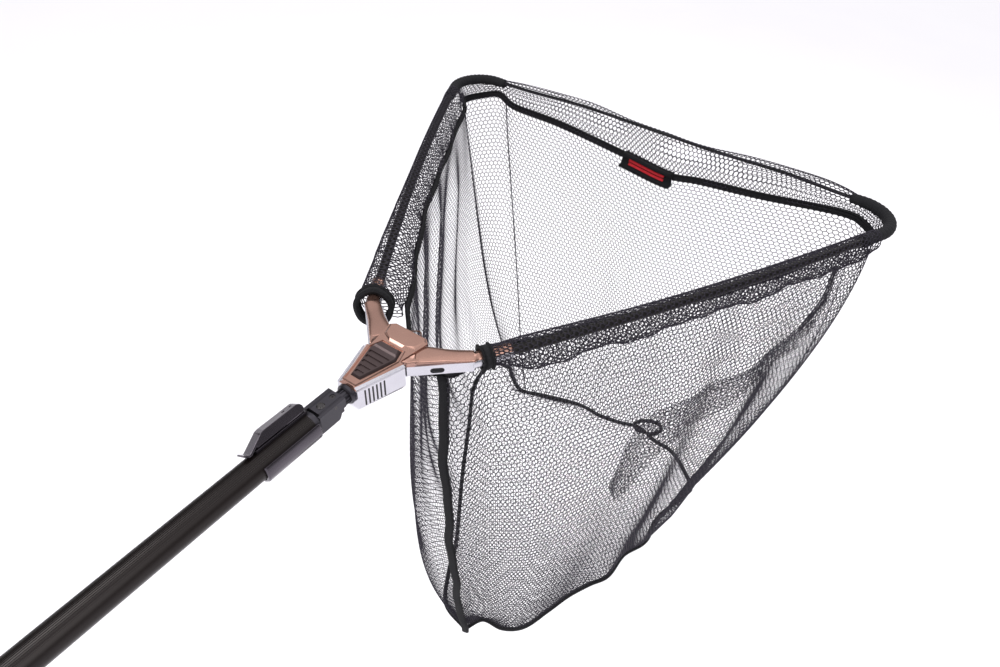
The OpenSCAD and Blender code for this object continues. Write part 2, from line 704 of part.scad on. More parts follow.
// --- net bag ------------------------------------------------------------------------
rear_base = [bag_sway, 119, -bag_rear_depth];
right_base = [225 + bag_sway, 421, -bag_front_depth];
left_base = [-165 + bag_sway, 474, -bag_front_depth];
rear_top = [26, 76, -46];
rear_steps = 3;
side_steps = 7;
deep_steps = 5;
front_y = elbow_point(elbow_turn)[1];
front_half = elbow_point(elbow_turn)[0] - elbow_straight - 1.5;
cord_sag = 4;
hem_half = front_half + 38;
hem_y = front_y - 14;
tape_height = 9;
// level of the front hem tape's top edge at s, from one end to the other
function tape_top(s) = -20 - 27 * sin(180 * s);
// the rim's first steps run from the rear tape under the head to the cuff
function rim_right(i) = i < rear_steps
    ? mix(rear_top, arm_point(sleeve_from, rim_inset, rim_z), i / rear_steps)
    : arm_point(mix(sleeve_from, arm_length - 20, (i - rear_steps) / side_steps), rim_inset, rim_z);
function flipped(p) = [-p[0], p[1], p[2]];
function rim_left(i) = i < rear_steps
    ? mix(rear_top, flipped(arm_point(sleeve_from, rim_inset, rim_z)), i / rear_steps)
        + [0, -14 * sin(180 * i / rear_steps), 0]
    : flipped(rim_right(i));
// straight seam to the floor, bowed outward between its ends
function wall(rim, base, n, bow, s, t) = mix(rim, base, t) + n * (bow * sin(180 * s) * sin(180 * t));
wall_cols = rear_steps + side_steps;
module net_wall(rim, base_a, base_b, n, bow) {
    sheet([for (k = [0:deep_steps]) [for (i = [0:wall_cols])
        let (s = i / wall_cols, t = k / deep_steps,
            base = mix(base_a, base_b, s) + n * (bow * 0.8 * sin(180 * s)))
        wall(rim[i], base, n, bow, s, t)]], n * net_thickness);
}
right_out = [0.83, -0.55, 0];
left_out = [-0.83, -0.55, 0];
module net_right_panel() {
    color("#55555a") net_wall([for (i = [0:wall_cols]) rim_right(i)], rear_base, right_base, right_out, 30);
}
module net_left_panel() {
    color("#55555a") net_wall([for (i = [0:wall_cols]) rim_left(i)],
        rear_base + [-3, 0, 0], left_base, left_out, 22);
}
module net_front_panel() {
    color("#55555a") sheet([for (k = [0:deep_steps]) [for (i = [0:side_steps])
        let (s = i / side_steps, t = k / deep_steps,
            top = [mix(hem_half - 14, 14 - hem_half, s), hem_y, tape_top(s) - tape_height - 4],
            base = mix(right_base, left_base, s) + [0, 4, 0])
        mix(top, base, t) + [0, 12 * sin(180 * s) * sin(180 * t), 0]]], [0, net_thickness, 0]);
}
module net_base_panel() {
    inset = 8;
    mid = (rear_base + right_base + left_base) / 3;
    corners = [for (c = [rear_base, right_base, left_base]) c + (mid - c) * (inset / norm(mid - c) * 2)];
    color("#4b4b50") sheet([for (k = [0:4]) [for (i = [0:4])
        let (s = i / 4, t = k / 4, side = mix(corners[1], corners[2], s))
        mix(corners[0] + [(s - 0.5) * -6, 0, 0], side, 0.06 + 0.94 * t)
            + [0, 0, -16 * sin(180 * t) * sin(180 * s) - 2]]], [0, 0, net_thickness]);
}
module rear_seam_tape() {
    tape_off = [0.3, -0.95, 0];
    color("#101011") sheet([for (k = [0:8]) [for (x = [-6, 6])
        let (t = k / 8) mix(rear_top + [0, 0, -4], rear_base + [0, 0, 16], t)
            + tape_off * 4 + [x * 0.95, x * 0.3, 0]]], tape_off * 1.5);
}
module base_piping() {
    side = [for (i = [0:6]) let (s = i / 6) mix(rear_base, right_base, s) + right_out * (5 + 24 * sin(180 * s))
        + [0, 0, -4]];
    front = [for (i = [1:6]) mix(right_base, left_base, i / 6) + [0, 9, -4]];
    color("#121213") cord(concat(side, front), 2);
}
module front_cord() {
    half = [for (i = [0:5]) let (s = i / 5) [front_half * (1 - s), front_y - cord_sag * sin(90 * s), 0]];
    color("#141415") cord(concat(half, [for (i = [4:-1:0]) flipped(half[i])]), 3);
}
module front_hem_band() {
    color("#46464a") sheet([for (k = [0:2]) [for (i = [0:8])
        let (s = i / 8, t = k / 2)
        [mix(front_half, -front_half, s), mix(front_y - cord_sag * sin(180 * s) - 1, hem_y + 2, t),
            mix(-5, tape_top(s) + 2, t)]]], [0, net_thickness, 0]);
}
module front_hem_tape() {
    color("#101011") sheet([for (k = [0:1]) [for (i = [0:8])
        let (s = i / 8) [mix(hem_half, -hem_half, s), hem_y, tape_top(s) - k * tape_height]]],
        [0, 2.4, 0]);
}
module label_tag() {
    label_x = [-47, 43];
    color("#161617") translate([label_x[0], hem_y - 0.1, -45]) rotate([-10, 0, 0])
        translate([0, -2.4, -25]) cube([label_x[1] - label_x[0], 2.4, 25]);
}

outer_tube();
hinge_fork();
hinge_pin();
fork_rivets();
lock_collet();
twist_collar();
inner_tube();
guide_bush();
grip();
butt_cap();
slider_sleeve();
belt_clip();
clip_rivets();
slider_pad();
hinge_tongue();
tongue_screw();
neck_rod();
neck_ring();
button_spring();
hinge_button();
head_upper_shell();
head_lower_shell();
head_screws();
arm_pivot_pins();
catch_spring();
net_tie_cord();
release_catch();
lock_plate();
catch_screw();
right_arm_root();
right_arm_cover();
right_arm_tube();
right_tip_elbow();
right_corner_wrap();
right_cuff();
right_arm_sleeve();
right_hem_tape();
left_arm_root();
left_arm_cover();
left_arm_tube();
left_tip_elbow();
left_corner_wrap();
left_cuff();
left_arm_sleeve();
left_hem_tape();
net_right_panel();
net_left_panel();
net_front_panel();
net_base_panel();
rear_seam_tape();
base_piping();
front_cord();
front_hem_band();
front_hem_tape();
label_tag();
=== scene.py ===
import math

import bmesh
import bpy
import numpy as np
from mathutils import Matrix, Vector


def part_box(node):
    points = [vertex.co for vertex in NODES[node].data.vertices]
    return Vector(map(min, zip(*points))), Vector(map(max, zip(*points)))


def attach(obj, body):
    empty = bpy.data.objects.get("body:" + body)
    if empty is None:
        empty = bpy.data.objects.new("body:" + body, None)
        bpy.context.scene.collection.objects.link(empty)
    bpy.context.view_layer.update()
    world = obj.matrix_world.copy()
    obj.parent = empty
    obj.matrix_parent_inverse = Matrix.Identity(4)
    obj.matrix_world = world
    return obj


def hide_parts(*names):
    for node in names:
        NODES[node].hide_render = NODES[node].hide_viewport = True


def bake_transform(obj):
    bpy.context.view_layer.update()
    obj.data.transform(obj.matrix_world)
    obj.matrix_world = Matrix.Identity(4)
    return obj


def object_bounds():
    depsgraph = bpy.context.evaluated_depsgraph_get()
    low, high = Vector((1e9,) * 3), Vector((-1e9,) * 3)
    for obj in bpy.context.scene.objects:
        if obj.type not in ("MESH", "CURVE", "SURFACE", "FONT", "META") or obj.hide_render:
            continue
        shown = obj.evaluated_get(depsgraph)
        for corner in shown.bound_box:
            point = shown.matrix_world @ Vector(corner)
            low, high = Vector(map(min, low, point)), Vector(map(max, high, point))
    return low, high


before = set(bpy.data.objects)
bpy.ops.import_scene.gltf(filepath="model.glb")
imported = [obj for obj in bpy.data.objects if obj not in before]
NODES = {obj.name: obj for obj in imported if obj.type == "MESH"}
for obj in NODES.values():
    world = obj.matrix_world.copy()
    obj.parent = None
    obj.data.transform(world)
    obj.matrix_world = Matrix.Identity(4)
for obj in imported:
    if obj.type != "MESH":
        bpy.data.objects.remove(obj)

# Folding landing net. Metal and plastic stay as the frame's own nodes, apart from the
# arm covers; netting, tapes, cords and cuffs are built here. Metres; +Y forward,
# +X right, +Z up.

CAD_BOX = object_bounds()

# --- arms, as the frame's arm tubes run ------------------------------------------
ARM_HEADING = math.radians(33.48)
ARM_TURN = math.radians(8.2)
ARM_LENGTH = 0.664
ARM_START_X = 0.0194
ARM_BEND_R = ARM_LENGTH / ARM_TURN
ARM_CENTRE = np.array(
    [ARM_START_X - ARM_BEND_R * math.cos(ARM_HEADING), ARM_BEND_R * math.sin(ARM_HEADING)]
)
CUFF_AT = 0.094
SLEEVE_FROM = 0.107
SLEEVE_TO = 0.652

# --- net bag ----------------------------------------------------------------------
REAR_TOP = np.array([0.026, 0.076, -0.046])
REAR_BASE = np.array([0.034, 0.119, -0.700])
RIGHT_BASE = np.array([0.259, 0.421, -0.450])
LEFT_BASE = np.array([-0.131, 0.474, -0.450])
FRONT_Y = 0.6475
FRONT_HALF = 0.289
ELBOW_R = 0.048
ELBOW_CENTRE = np.array([0.3006, 0.5995])
FERRULE_R = 0.0082
PIVOT = (0.015, 0.030)
THREAD_R = 0.00048
# each thread is a rod that runs past its nodes, as wide as looks right for a round one
ROD_OVERRUN = 0.5
ROD_WIDTH = 1.25
# cells across and rows down, panel by panel
SIDE_CELLS = (86, 91)
FRONT_CELLS = (50, 78)
PLEAT_CELLS = (58, 9)
FLOOR_CELLS = (56, 88)
BAND_CELLS = (58, 17)
SLEEVE_CELLS = (18, 104)

SIDES = ((1, "right"), (-1, "left"))


def arm_point(l, inward=0.0, z=0.0, side=1.0):
    """Points on an arm's centre line at length l, moved inward and up."""
    l, inward, z = np.broadcast_arrays(
        np.asarray(l, float), np.asarray(inward, float), np.asarray(z, float)
    )
    a = -ARM_HEADING + l / ARM_BEND_R
    r = ARM_BEND_R - inward
    x = ARM_CENTRE[0] + r * np.cos(a)
    y = ARM_CENTRE[1] + r * np.sin(a)
    return np.stack([side * x, y, z], -1)


def mix(a, b, t):
    t = np.asarray(t, float)[..., None]
    return a * (1 - t) + b * t


def smooth(t):
    t = np.clip(t, 0, 1)
    return t * t * (3 - 2 * t)


def unit(v):
    return v / np.maximum(np.linalg.norm(v, axis=-1, keepdims=True), 1e-12)


# --- meshes -------------------------------------------------------------------------
def make_object(name, verts, faces, material, smooth_faces=True):
    mesh = bpy.data.meshes.new(name)
    verts = np.asarray(verts, np.float32).reshape(-1, 3)
    if isinstance(faces, np.ndarray):
        count, sides = faces.shape
        mesh.vertices.add(len(verts))
        mesh.vertices.foreach_set("co", verts.ravel())
        mesh.loops.add(count * sides)
        mesh.loops.foreach_set("vertex_index", faces.astype(np.int32).ravel())
        mesh.polygons.add(count)
        mesh.polygons.foreach_set("loop_start", np.arange(0, count * sides, sides, dtype=np.int32))
        mesh.polygons.foreach_set("loop_total", np.full(count, sides, np.int32))
        mesh.update(calc_edges=True)
    else:
        mesh.from_pydata(verts.tolist(), [], faces)
        shell = bmesh.new()
        shell.from_mesh(mesh)
        if shell.calc_volume(signed=True) < 0:
            bmesh.ops.reverse_faces(shell, faces=shell.faces)
        shell.to_mesh(mesh)
        shell.free()
        mesh.update()
    mesh.polygons.foreach_set("use_smooth", np.full(len(mesh.polygons), smooth_faces, bool))
    mesh.materials.append(material)
    obj = bpy.data.objects.new(name, mesh)
    bpy.context.scene.collection.objects.link(obj)
    return obj


def settle(obj, body, node):
    """Fixes a piece to a body, in place of a CAD node."""
    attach(obj, body)
    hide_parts(node)


def honeycomb(cols, rows, slant=0.36):
    """Nodes (u in cells, v in rows) and edges of a hexagonal net."""
    k = np.arange(2 * cols + 1)
    j = np.arange(rows + 1)
    kk, jj = np.meshgrid(k, j)
    sign = np.where((kk + jj) % 2 == 0, 1.0, -1.0)
    nodes = np.stack([kk / 2.0, jj + sign * slant / 2], -1).reshape(-1, 2)
    ids = (jj * (2 * cols + 1) + kk)
    across = np.stack([ids[:, :-1].ravel(), ids[:, 1:].ravel()], -1)
    up_from = ids[:-1][(sign[:-1] > 0)]
    up = np.stack([up_from, up_from + 2 * cols + 1], -1)
    return nodes, np.concatenate([across, up])


def net_mesh(name, nodes, edges, surface, radius, material):
    """Threads: one closed three-sided rod for every edge of the net."""
    p = surface(nodes[:, 0], nodes[:, 1])
    step = 1e-3
    du = surface(nodes[:, 0] + step, nodes[:, 1]) - p
    dv = surface(nodes[:, 0], nodes[:, 1] + step) - p
    normal = unit(np.cross(du, dv))
    a, b = p[edges[:, 0]], p[edges[:, 1]]
    along = unit(b - a)
    n = unit(normal[edges[:, 0]] + normal[edges[:, 1]])
    side = unit(np.cross(along, n))
    n = np.cross(side, along)
    a = a - along * radius * ROD_OVERRUN
    b = b + along * radius * ROD_OVERRUN
    rings = []
    for end in (a, b):
        for angle in (90, 210, 330):
            c, s = math.cos(math.radians(angle)), math.sin(math.radians(angle))
            rings.append(end + radius * ROD_WIDTH * (c * side + s * n))
    verts = np.stack(rings, 1).reshape(-1, 3)
    base = np.arange(len(edges))[:, None] * 6
    corners = [
        (0, 4, 1), (0, 3, 4), (1, 5, 2), (1, 4, 5), (2, 3, 0), (2, 5, 3), (0, 1, 2), (3, 5, 4),
    ]
    faces = np.concatenate([base + np.array(corner) for corner in corners])
    return make_object(name, verts, faces, material)


def sweep(points, section, up=(0, 0, 1), closed=False):
    """Vertices and faces of a closed section (n x 2) swept along points."""
    pts = np.asarray(points, float)
    n = len(pts)
    if closed:
        along = unit(np.roll(pts, -1, 0) - np.roll(pts, 1, 0))
    else:
        along = unit(np.gradient(pts, axis=0))
    u = unit(np.cross(along, np.broadcast_to(np.asarray(up, float), along.shape)))
    v = np.cross(u, along)
    section = np.asarray(section, float)
    if section.ndim == 2:
        section = np.broadcast_to(section, (n,) + section.shape)
    verts = pts[:, None] + section[..., :1] * u[:, None] + section[..., 1:] * v[:, None]
    m = section.shape[1]
    faces = []
    for i in range(n if closed else n - 1):
        for k in range(m):
            a, b = i * m + k, i * m + (k + 1) % m
            c, d = (i + 1) % n * m + (k + 1) % m, (i + 1) % n * m + k
            faces.append((a, b, c, d))
    if not closed:
        faces.append(tuple(range(m - 1, -1, -1)))
        faces.append(tuple((n - 1) * m + k for k in range(m)))
    return verts.reshape(-1, 3), faces


def oval(width, height, count=12):
    a = np.linspace(0, 2 * math.pi, count, endpoint=False)
    return np.stack([np.cos(a) * width / 2, np.sin(a) * height / 2], -1)


def band(width, thick, count=6):
    """Flat tape section with rounded edges."""
    r = thick / 2
    a = np.linspace(-math.pi / 2, math.pi / 2, count)
    right = np.stack([width / 2 - r + r * np.cos(a), r * np.sin(a)], -1)
    return np.concatenate([right, -right])


def curve_through(points, count):
    """Catmull-Rom curve through points, evenly spaced."""
    p = np.asarray(points, float)
    ext = np.concatenate([[2 * p[0] - p[1]], p, [2 * p[-1] - p[-2]]])
    out = []
    for i in range(1, len(ext) - 2):
        t = np.linspace(0, 1, 24, endpoint=False)[:, None]
        a, b, c, d = ext[i - 1], ext[i], ext[i + 1], ext[i + 2]
        out.append(
            0.5 * (2 * b + (c - a) * t + (2 * a - 5 * b + 4 * c - d) * t**2
                   + (3 * b - a - 3 * c + d) * t**3)
        )
    out = np.concatenate(out + [p[-1:]])
    length = np.concatenate([[0], np.cumsum(np.linalg.norm(np.diff(out, axis=0), axis=1))])
    want = np.linspace(0, length[-1], count)
    return np.stack([np.interp(want, length, out[:, k]) for k in range(3)], -1)


# --- materials ----------------------------------------------------------------------
def node_material(name):
    mat = bpy.data.materials.new(name)
    mat.use_nodes = True
    tree = mat.node_tree
    return mat, tree, tree.nodes["Principled BSDF"]


def coords(tree, scale=(1, 1, 1)):
    tex = tree.nodes.new("ShaderNodeTexCoord")
    mapping = tree.nodes.new("ShaderNodeMapping")
    mapping.inputs["Scale"].default_value = scale
    tree.links.new(tex.outputs["Object"], mapping.inputs["Vector"])
    return mapping.outputs["Vector"]


def noise(tree, vector, scale, detail=3.0):
    node = tree.nodes.new("ShaderNodeTexNoise")
    node.inputs["Scale"].default_value = scale
    node.inputs["Detail"].default_value = detail
    tree.links.new(vector, node.inputs["Vector"])
    return node.outputs["Fac"]


def wave(tree, vector, scale, direction):
    node = tree.nodes.new("ShaderNodeTexWave")
    node.bands_direction = direction
    node.inputs["Scale"].default_value = scale
    tree.links.new(vector, node.inputs["Vector"])
    return node.outputs["Fac"]


def ramp(tree, value, low, high):
    node = tree.nodes.new("ShaderNodeMapRange")
    node.inputs["To Min"].default_value = low
    node.inputs["To Max"].default_value = high
    tree.links.new(value, node.inputs["Value"])
    return node.outputs["Result"]


def tint(tree, value, dark, light):
    node = tree.nodes.new("ShaderNodeMix")
    node.data_type = "RGBA"
    node.inputs[6].default_value = (*dark, 1)
    node.inputs[7].default_value = (*light, 1)
    tree.links.new(value, node.inputs[0])
    return node.outputs[2]


def bump(tree, bsdf, value, strength, distance):
    node = tree.nodes.new("ShaderNodeBump")
    node.inputs["Strength"].default_value = strength
    node.inputs["Distance"].default_value = distance
    tree.links.new(value, node.inputs["Height"])
    tree.links.new(node.outputs["Normal"], bsdf.inputs["Normal"])


def finish_material(name, dark, light, metallic, rough, grain=900.0, stretch=(1, 1, 1),
                    bump_mm=0.03, coat=0.0):
    """Metal, paint or plastic with fine grain and uneven gloss."""
    mat, tree, bsdf = node_material(name)
    vector = coords(tree, stretch)
    broad = noise(tree, vector, 35.0)
    fine = noise(tree, vector, grain, 2.0)
    tree.links.new(tint(tree, broad, dark, light), bsdf.inputs["Base Color"])
    tree.links.new(ramp(tree, broad, rough[0], rough[1]), bsdf.inputs["Roughness"])
    bsdf.inputs["Metallic"].default_value = metallic
    bsdf.inputs["Coat Weight"].default_value = coat
    bsdf.inputs["Coat Roughness"].default_value = 0.15
    bump(tree, bsdf, fine, 0.35, bump_mm * 0.001)
    return mat


def add_paint_line(mat, dark, light, level, rear, front):
    """Second colour on the same shell, below a level and between two lines across."""
    tree = mat.node_tree
    colour = next(n for n in tree.nodes if n.type == "BSDF_PRINCIPLED").inputs["Base Color"]
    vector = coords(tree)
    place = tree.nodes.new("ShaderNodeSeparateXYZ")
    tree.links.new(vector, place.inputs[0])
    masks = []
    for axis, operation, limit in (
        ("Z", "LESS_THAN", level), ("Y", "GREATER_THAN", rear), ("Y", "LESS_THAN", front),
    ):
        mask = tree.nodes.new("ShaderNodeMath")
        mask.operation = operation
        tree.links.new(place.outputs[axis], mask.inputs[0])
        mask.inputs[1].default_value = limit
        masks.append(mask)
    inside = masks[0].outputs[0]
    for mask in masks[1:]:
        both = tree.nodes.new("ShaderNodeMath")
        both.operation = "MULTIPLY"
        tree.links.new(inside, both.inputs[0])
        tree.links.new(mask.outputs[0], both.inputs[1])
        inside = both.outputs[0]
    mixer = tree.nodes.new("ShaderNodeMix")
    mixer.data_type = "RGBA"
    tree.links.new(inside, mixer.inputs[0])
    tree.links.new(colour.links[0].from_socket, mixer.inputs[6])
    tree.links.new(tint(tree, noise(tree, vector, 400.0), dark, light), mixer.inputs[7])
    tree.links.new(mixer.outputs[2], colour)
    return mat


# the wave texture's own scale, for a pitch in metres
WAVE_UNIT = 6.283


def cloth_material(name, dark, light, pitch, rough=0.85, sheen=0.015, bump_mm=0.25):
    """Woven or knitted fabric: two crossing rows of ribs, two pitches (metres) apart."""
    mat, tree, bsdf = node_material(name)
    vector = coords(tree)
    one = wave(tree, vector, 1.0 / pitch / WAVE_UNIT, "DIAGONAL")
    two = wave(tree, vector, 1.0 / pitch / WAVE_UNIT, "Z")
    both = tree.nodes.new("ShaderNodeMath")
    both.operation = "MULTIPLY"
    tree.links.new(one, both.inputs[0])
    tree.links.new(two, both.inputs[1])
    fuzz = noise(tree, vector, 400.0, 4.0)
    tree.links.new(tint(tree, fuzz, dark, light), bsdf.inputs["Base Color"])
    tree.links.new(ramp(tree, fuzz, rough - 0.1, rough + 0.1), bsdf.inputs["Roughness"])
    bsdf.inputs["Sheen Weight"].default_value = sheen
    bsdf.inputs["Specular IOR Level"].default_value = 0.12
    bump(tree, bsdf, both.outputs[0], 0.8, bump_mm * 0.001)
    return mat


# darker and lighter tone of each paint
COPPER = (0.34, 0.185, 0.145), (0.45, 0.265, 0.210)
SILVER = (0.50, 0.49, 0.54), (0.66, 0.65, 0.70)
# the silver on the upper shell: below a level, between the rear face and the arms
PAINT_TOP, PAINT_REAR, PAINT_FRONT = 0.0107, -0.0318, 0.0187


def make_materials():
    m = {}
    m["tube"] = finish_material("anodised_tube", (0.006, 0.005, 0.005), (0.018, 0.012, 0.011),
                                0.5, (0.26, 0.38), 700.0, (1, 0.06, 1), 0.01)
    m["tube_inner"] = finish_material("anodised_inner", (0.03, 0.027, 0.025), (0.055, 0.05, 0.047),
                                      0.8, (0.3, 0.45), 700.0, (1, 0.06, 1), 0.01)
    m["black"] = finish_material("moulded_black", (0.036, 0.034, 0.040), (0.062, 0.058, 0.069),
                                 0.8, (0.24, 0.34), 1400.0, bump_mm=0.04)
    m["slider"] = finish_material("moulded_slider", (0.066, 0.058, 0.069), (0.105, 0.092, 0.110),
                                  0.9, (0.15, 0.22), 1200.0, bump_mm=0.02, coat=0.3)
    m["copper"] = finish_material("copper_paint", *COPPER,
                                  0.9, (0.19, 0.27), 1600.0, bump_mm=0.01, coat=0.35)
    m["copper_top"] = add_paint_line(
        finish_material("copper_paint_edged", *COPPER, 0.9, (0.19, 0.27), 1600.0,
                        bump_mm=0.01, coat=0.35),
        *SILVER, PAINT_TOP, PAINT_REAR, PAINT_FRONT)
    m["silver"] = finish_material("silver_paint", *SILVER,
                                  0.95, (0.16, 0.26), 1600.0, bump_mm=0.01, coat=0.3)
    m["catch"] = finish_material("catch_plastic", (0.050, 0.032, 0.032), (0.085, 0.062, 0.062),
                                 0.7, (0.24, 0.34), 1100.0, bump_mm=0.04)
    m["steel"] = finish_material("bright_steel", (0.45, 0.44, 0.43), (0.62, 0.61, 0.60),
                                 1.0, (0.16, 0.30), 900.0, bump_mm=0.01)
    m["arm"] = finish_material("arm_metal", (0.010, 0.009, 0.009), (0.022, 0.019, 0.018),
                               0.6, (0.3, 0.42), 900.0, (1, 0.2, 1), 0.01)
    m["screw"] = finish_material("dark_screw", (0.050, 0.047, 0.048), (0.100, 0.094, 0.096),
                                 1.0, (0.20, 0.32), 900.0, bump_mm=0.02)
    m["foam"] = finish_material("foam", (0.008, 0.008, 0.009), (0.02, 0.02, 0.022),
                                0.0, (0.8, 0.95), 1800.0, bump_mm=0.25)
    # painted shade: near-black fill that stands in for the shadow inside the grip grooves and the
    # oval holes
    m["groove"] = finish_material("dark_groove", (0.012, 0.011, 0.012), (0.024, 0.022, 0.024),
                                  0.0, (0.55, 0.7), 1200.0, bump_mm=0.02)
    m["nylon"] = finish_material("nylon", (0.62, 0.61, 0.57), (0.74, 0.73, 0.69),
                                 0.0, (0.4, 0.5), 1200.0, bump_mm=0.02)
    m["tape"] = cloth_material("black_tape", (0.006, 0.006, 0.007), (0.020, 0.020, 0.022), 0.0011)
    m["cord"] = cloth_material("black_cord", (0.008, 0.008, 0.009), (0.030, 0.030, 0.032), 0.0012)
    m["thread"] = cloth_material("net_thread", (0.014, 0.012, 0.018), (0.045, 0.040, 0.056), 0.0006,
                                 0.6, 0.03, 0.05)
    m["twine"] = cloth_material("brown_twine", (0.05, 0.025, 0.018), (0.12, 0.06, 0.04), 0.0007)
    m["label"] = cloth_material("label_cloth", (0.006, 0.006, 0.007), (0.014, 0.014, 0.016), 0.0008)
    m["label_red"] = cloth_material("label_red", (0.45, 0.02, 0.03), (0.62, 0.04, 0.05), 0.0008)
    return m


CAD_FINISH = {
    "outer_tube": "tube", "inner_tube": "tube_inner", "guide_bush": "nylon", "grip": "foam",
    "slider_pad": "foam", "slider_sleeve": "slider", "belt_clip": "slider",
    "head_upper_shell": "copper_top", "right_arm_cover": "copper", "left_arm_cover": "copper",
    "head_lower_shell": "silver", "right_arm_root": "silver", "left_arm_root": "silver",
    "release_catch": "catch", "right_arm_tube": "arm", "left_arm_tube": "arm",
    "hinge_pin": "screw", "fork_rivets": "screw", "clip_rivets": "screw", "tongue_screw": "screw",
    "hinge_button": "screw", "button_spring": "steel", "head_screws": "steel",
    "arm_pivot_pins": "steel", "catch_spring": "steel", "lock_plate": "steel",
    "catch_screw": "steel",
}
# width in metres and segments
EDGE_BEVEL = {
    "head_upper_shell": (0.0010, 3), "head_lower_shell": (0.0012, 3), "release_catch": (0.0007, 3),
    "right_arm_root": (0.0022, 4), "left_arm_root": (0.0022, 4), "hinge_tongue": (0.0006, 3),
    "hinge_fork": (0.0011, 3), "belt_clip": (0.0009, 3), "slider_sleeve": (0.0010, 3),
    "butt_cap": (0.0008, 2), "twist_collar": (0.0005, 2),
}
BEVEL_ANGLE = math.radians(28)


def dress_frame(materials):
    """Gives every CAD node its finish, and the moulded ones softened edges."""
    for name, obj in NODES.items():
        material = materials[CAD_FINISH.get(name, "black")]
        obj.data.materials.clear()
        obj.data.materials.append(material)
        if name in EDGE_BEVEL:
            weld = obj.modifiers.new("weld", "WELD")
            weld.merge_threshold = 1e-5
            bevel = obj.modifiers.new("edges", "BEVEL")
            bevel.width, bevel.segments = EDGE_BEVEL[name]
            bevel.limit_method = "ANGLE"
            bevel.angle_limit = BEVEL_ANGLE
            bevel.harden_normals = True


# --- arm covers, painted groove shadows and painted hole shade -------------------------
BAR_START = np.array([0.022, 0.038])
BAR_END = arm_point(0.088)[:2]
BAR_DIR = unit(BAR_END - BAR_START)
BAR_SIDE = np.array([BAR_DIR[1], -BAR_DIR[0]])
SPLIT_Z = 0.0046


def bar_point(t, side_offset, z, side):
    """Point beside an arm root's axis, t from the joint (0) to the cuff (1)."""
    t, w, z = np.broadcast_arrays(t, side_offset, z)
    p = BAR_START + (BAR_END - BAR_START) * t[..., None] + BAR_SIDE * w[..., None]
    return np.stack([side * p[..., 0], p[..., 1], z], -1)


def loft(rings):
    """Closed skin through rings of equal length, with flat ends."""
    n, k = rings.shape[:2]
    faces = [(i * k + j, i * k + (j + 1) % k, (i + 1) * k + (j + 1) % k, (i + 1) * k + j)
             for i in range(n - 1) for j in range(k)]
    faces += [tuple(range(k - 1, -1, -1)), tuple((n - 1) * k + j for j in range(k))]
    return rings.reshape(-1, 3), faces


def build_arm_covers(materials):
    """Painted covers whose section turns from a soft box at the joint to a round end."""
    a = np.linspace(0, math.pi, 25)
    for side, label in SIDES:
        rings = []
        for t in np.linspace(0.0, 1.0, 41):
            outer = np.interp(t, [0, 0.06, 0.5, 1], [0.0118, 0.0118, 0.0090, 0.0082])
            inner = np.interp(t, [0, 0.2, 0.55, 1], [0.0105, 0.0120, 0.0092, 0.0082])
            top = 0.0100 - 0.0017 * smooth(t * 1.15)
            power = 2 / (4.6 - 2.4 * smooth(t * 1.3))
            c, h = np.cos(a), np.sin(a)
            w = np.sign(c) * np.abs(c) ** power * np.where(c > 0, outer, inner)
            z = SPLIT_Z + 0.00005 + (top - SPLIT_Z) * np.abs(h) ** power
            rings.append(bar_point(t, w, z, side))
        for l in np.linspace(0.0885, 0.128, 14):
            z = SPLIT_Z + 0.00005 + (FERRULE_R - SPLIT_Z) * np.sin(a)
            half = np.sqrt(np.maximum(FERRULE_R ** 2 - z ** 2, 0))
            half = half * np.where(np.abs(np.cos(a)) > 1e-9, 1, 0)
            rings.append(arm_point(l, -np.sign(np.cos(a)) * half, z, side))
        verts, faces = loft(np.array(rings))
        cover = make_object(f"{label}_cover_shell", verts, faces, materials["copper"])
        b = np.linspace(0, 2 * math.pi, 40, endpoint=False)
        eye = []
        for z, r in ((SPLIT_Z + 0.0001, 0.0104), (0.0094, 0.0104), (0.0099, 0.0099)):
            x = side * (PIVOT[0] + r * np.cos(b))
            eye.append(np.stack([x, PIVOT[1] + r * np.sin(b), z + 0 * b], -1))
        verts, faces = loft(np.array(eye))
        disc = make_object(f"{label}_cover_eye", verts, faces, materials["copper"])
        plan = np.array([[0.0125, 0.0245], [0.0238, 0.0226], [0.0315, 0.0316], [0.0312, 0.0400],
                         [0.0185, 0.0440], [0.0125, 0.0370]])
        mid = plan.mean(0)
        knuckle = []
        for z, k in ((SPLIT_Z + 0.0001, 1.0), (0.0082, 1.0), (0.0093, 0.95), (0.0098, 0.88)):
            spot = mid + (plan - mid) * k
            knuckle.append(np.stack([side * spot[:, 0], spot[:, 1], z + 0 * spot[:, 0]], -1))
        verts, faces = loft(np.array(knuckle))
        joint = make_object(f"{label}_cover_knuckle", verts, faces, materials["copper"], False)
        for piece in (cover, disc, joint):
            settle(piece, f"{label}_arm", f"{label}_arm_cover")


# painted shade: dark strips on the shadowed floors of the grip grooves: first corner, step to the
# next, size, heights
GROOVES = 6
GROOVE_AT = (0.0124, -0.0255)
GROOVE_STEP = (0.00117, 0.004)
GROOVE_TURN = math.radians(-16)
GROOVE_LONG, GROOVE_WIDE = 0.0026, 0.0015
GROOVE_HEIGHTS = (-0.0132, 0.0062)


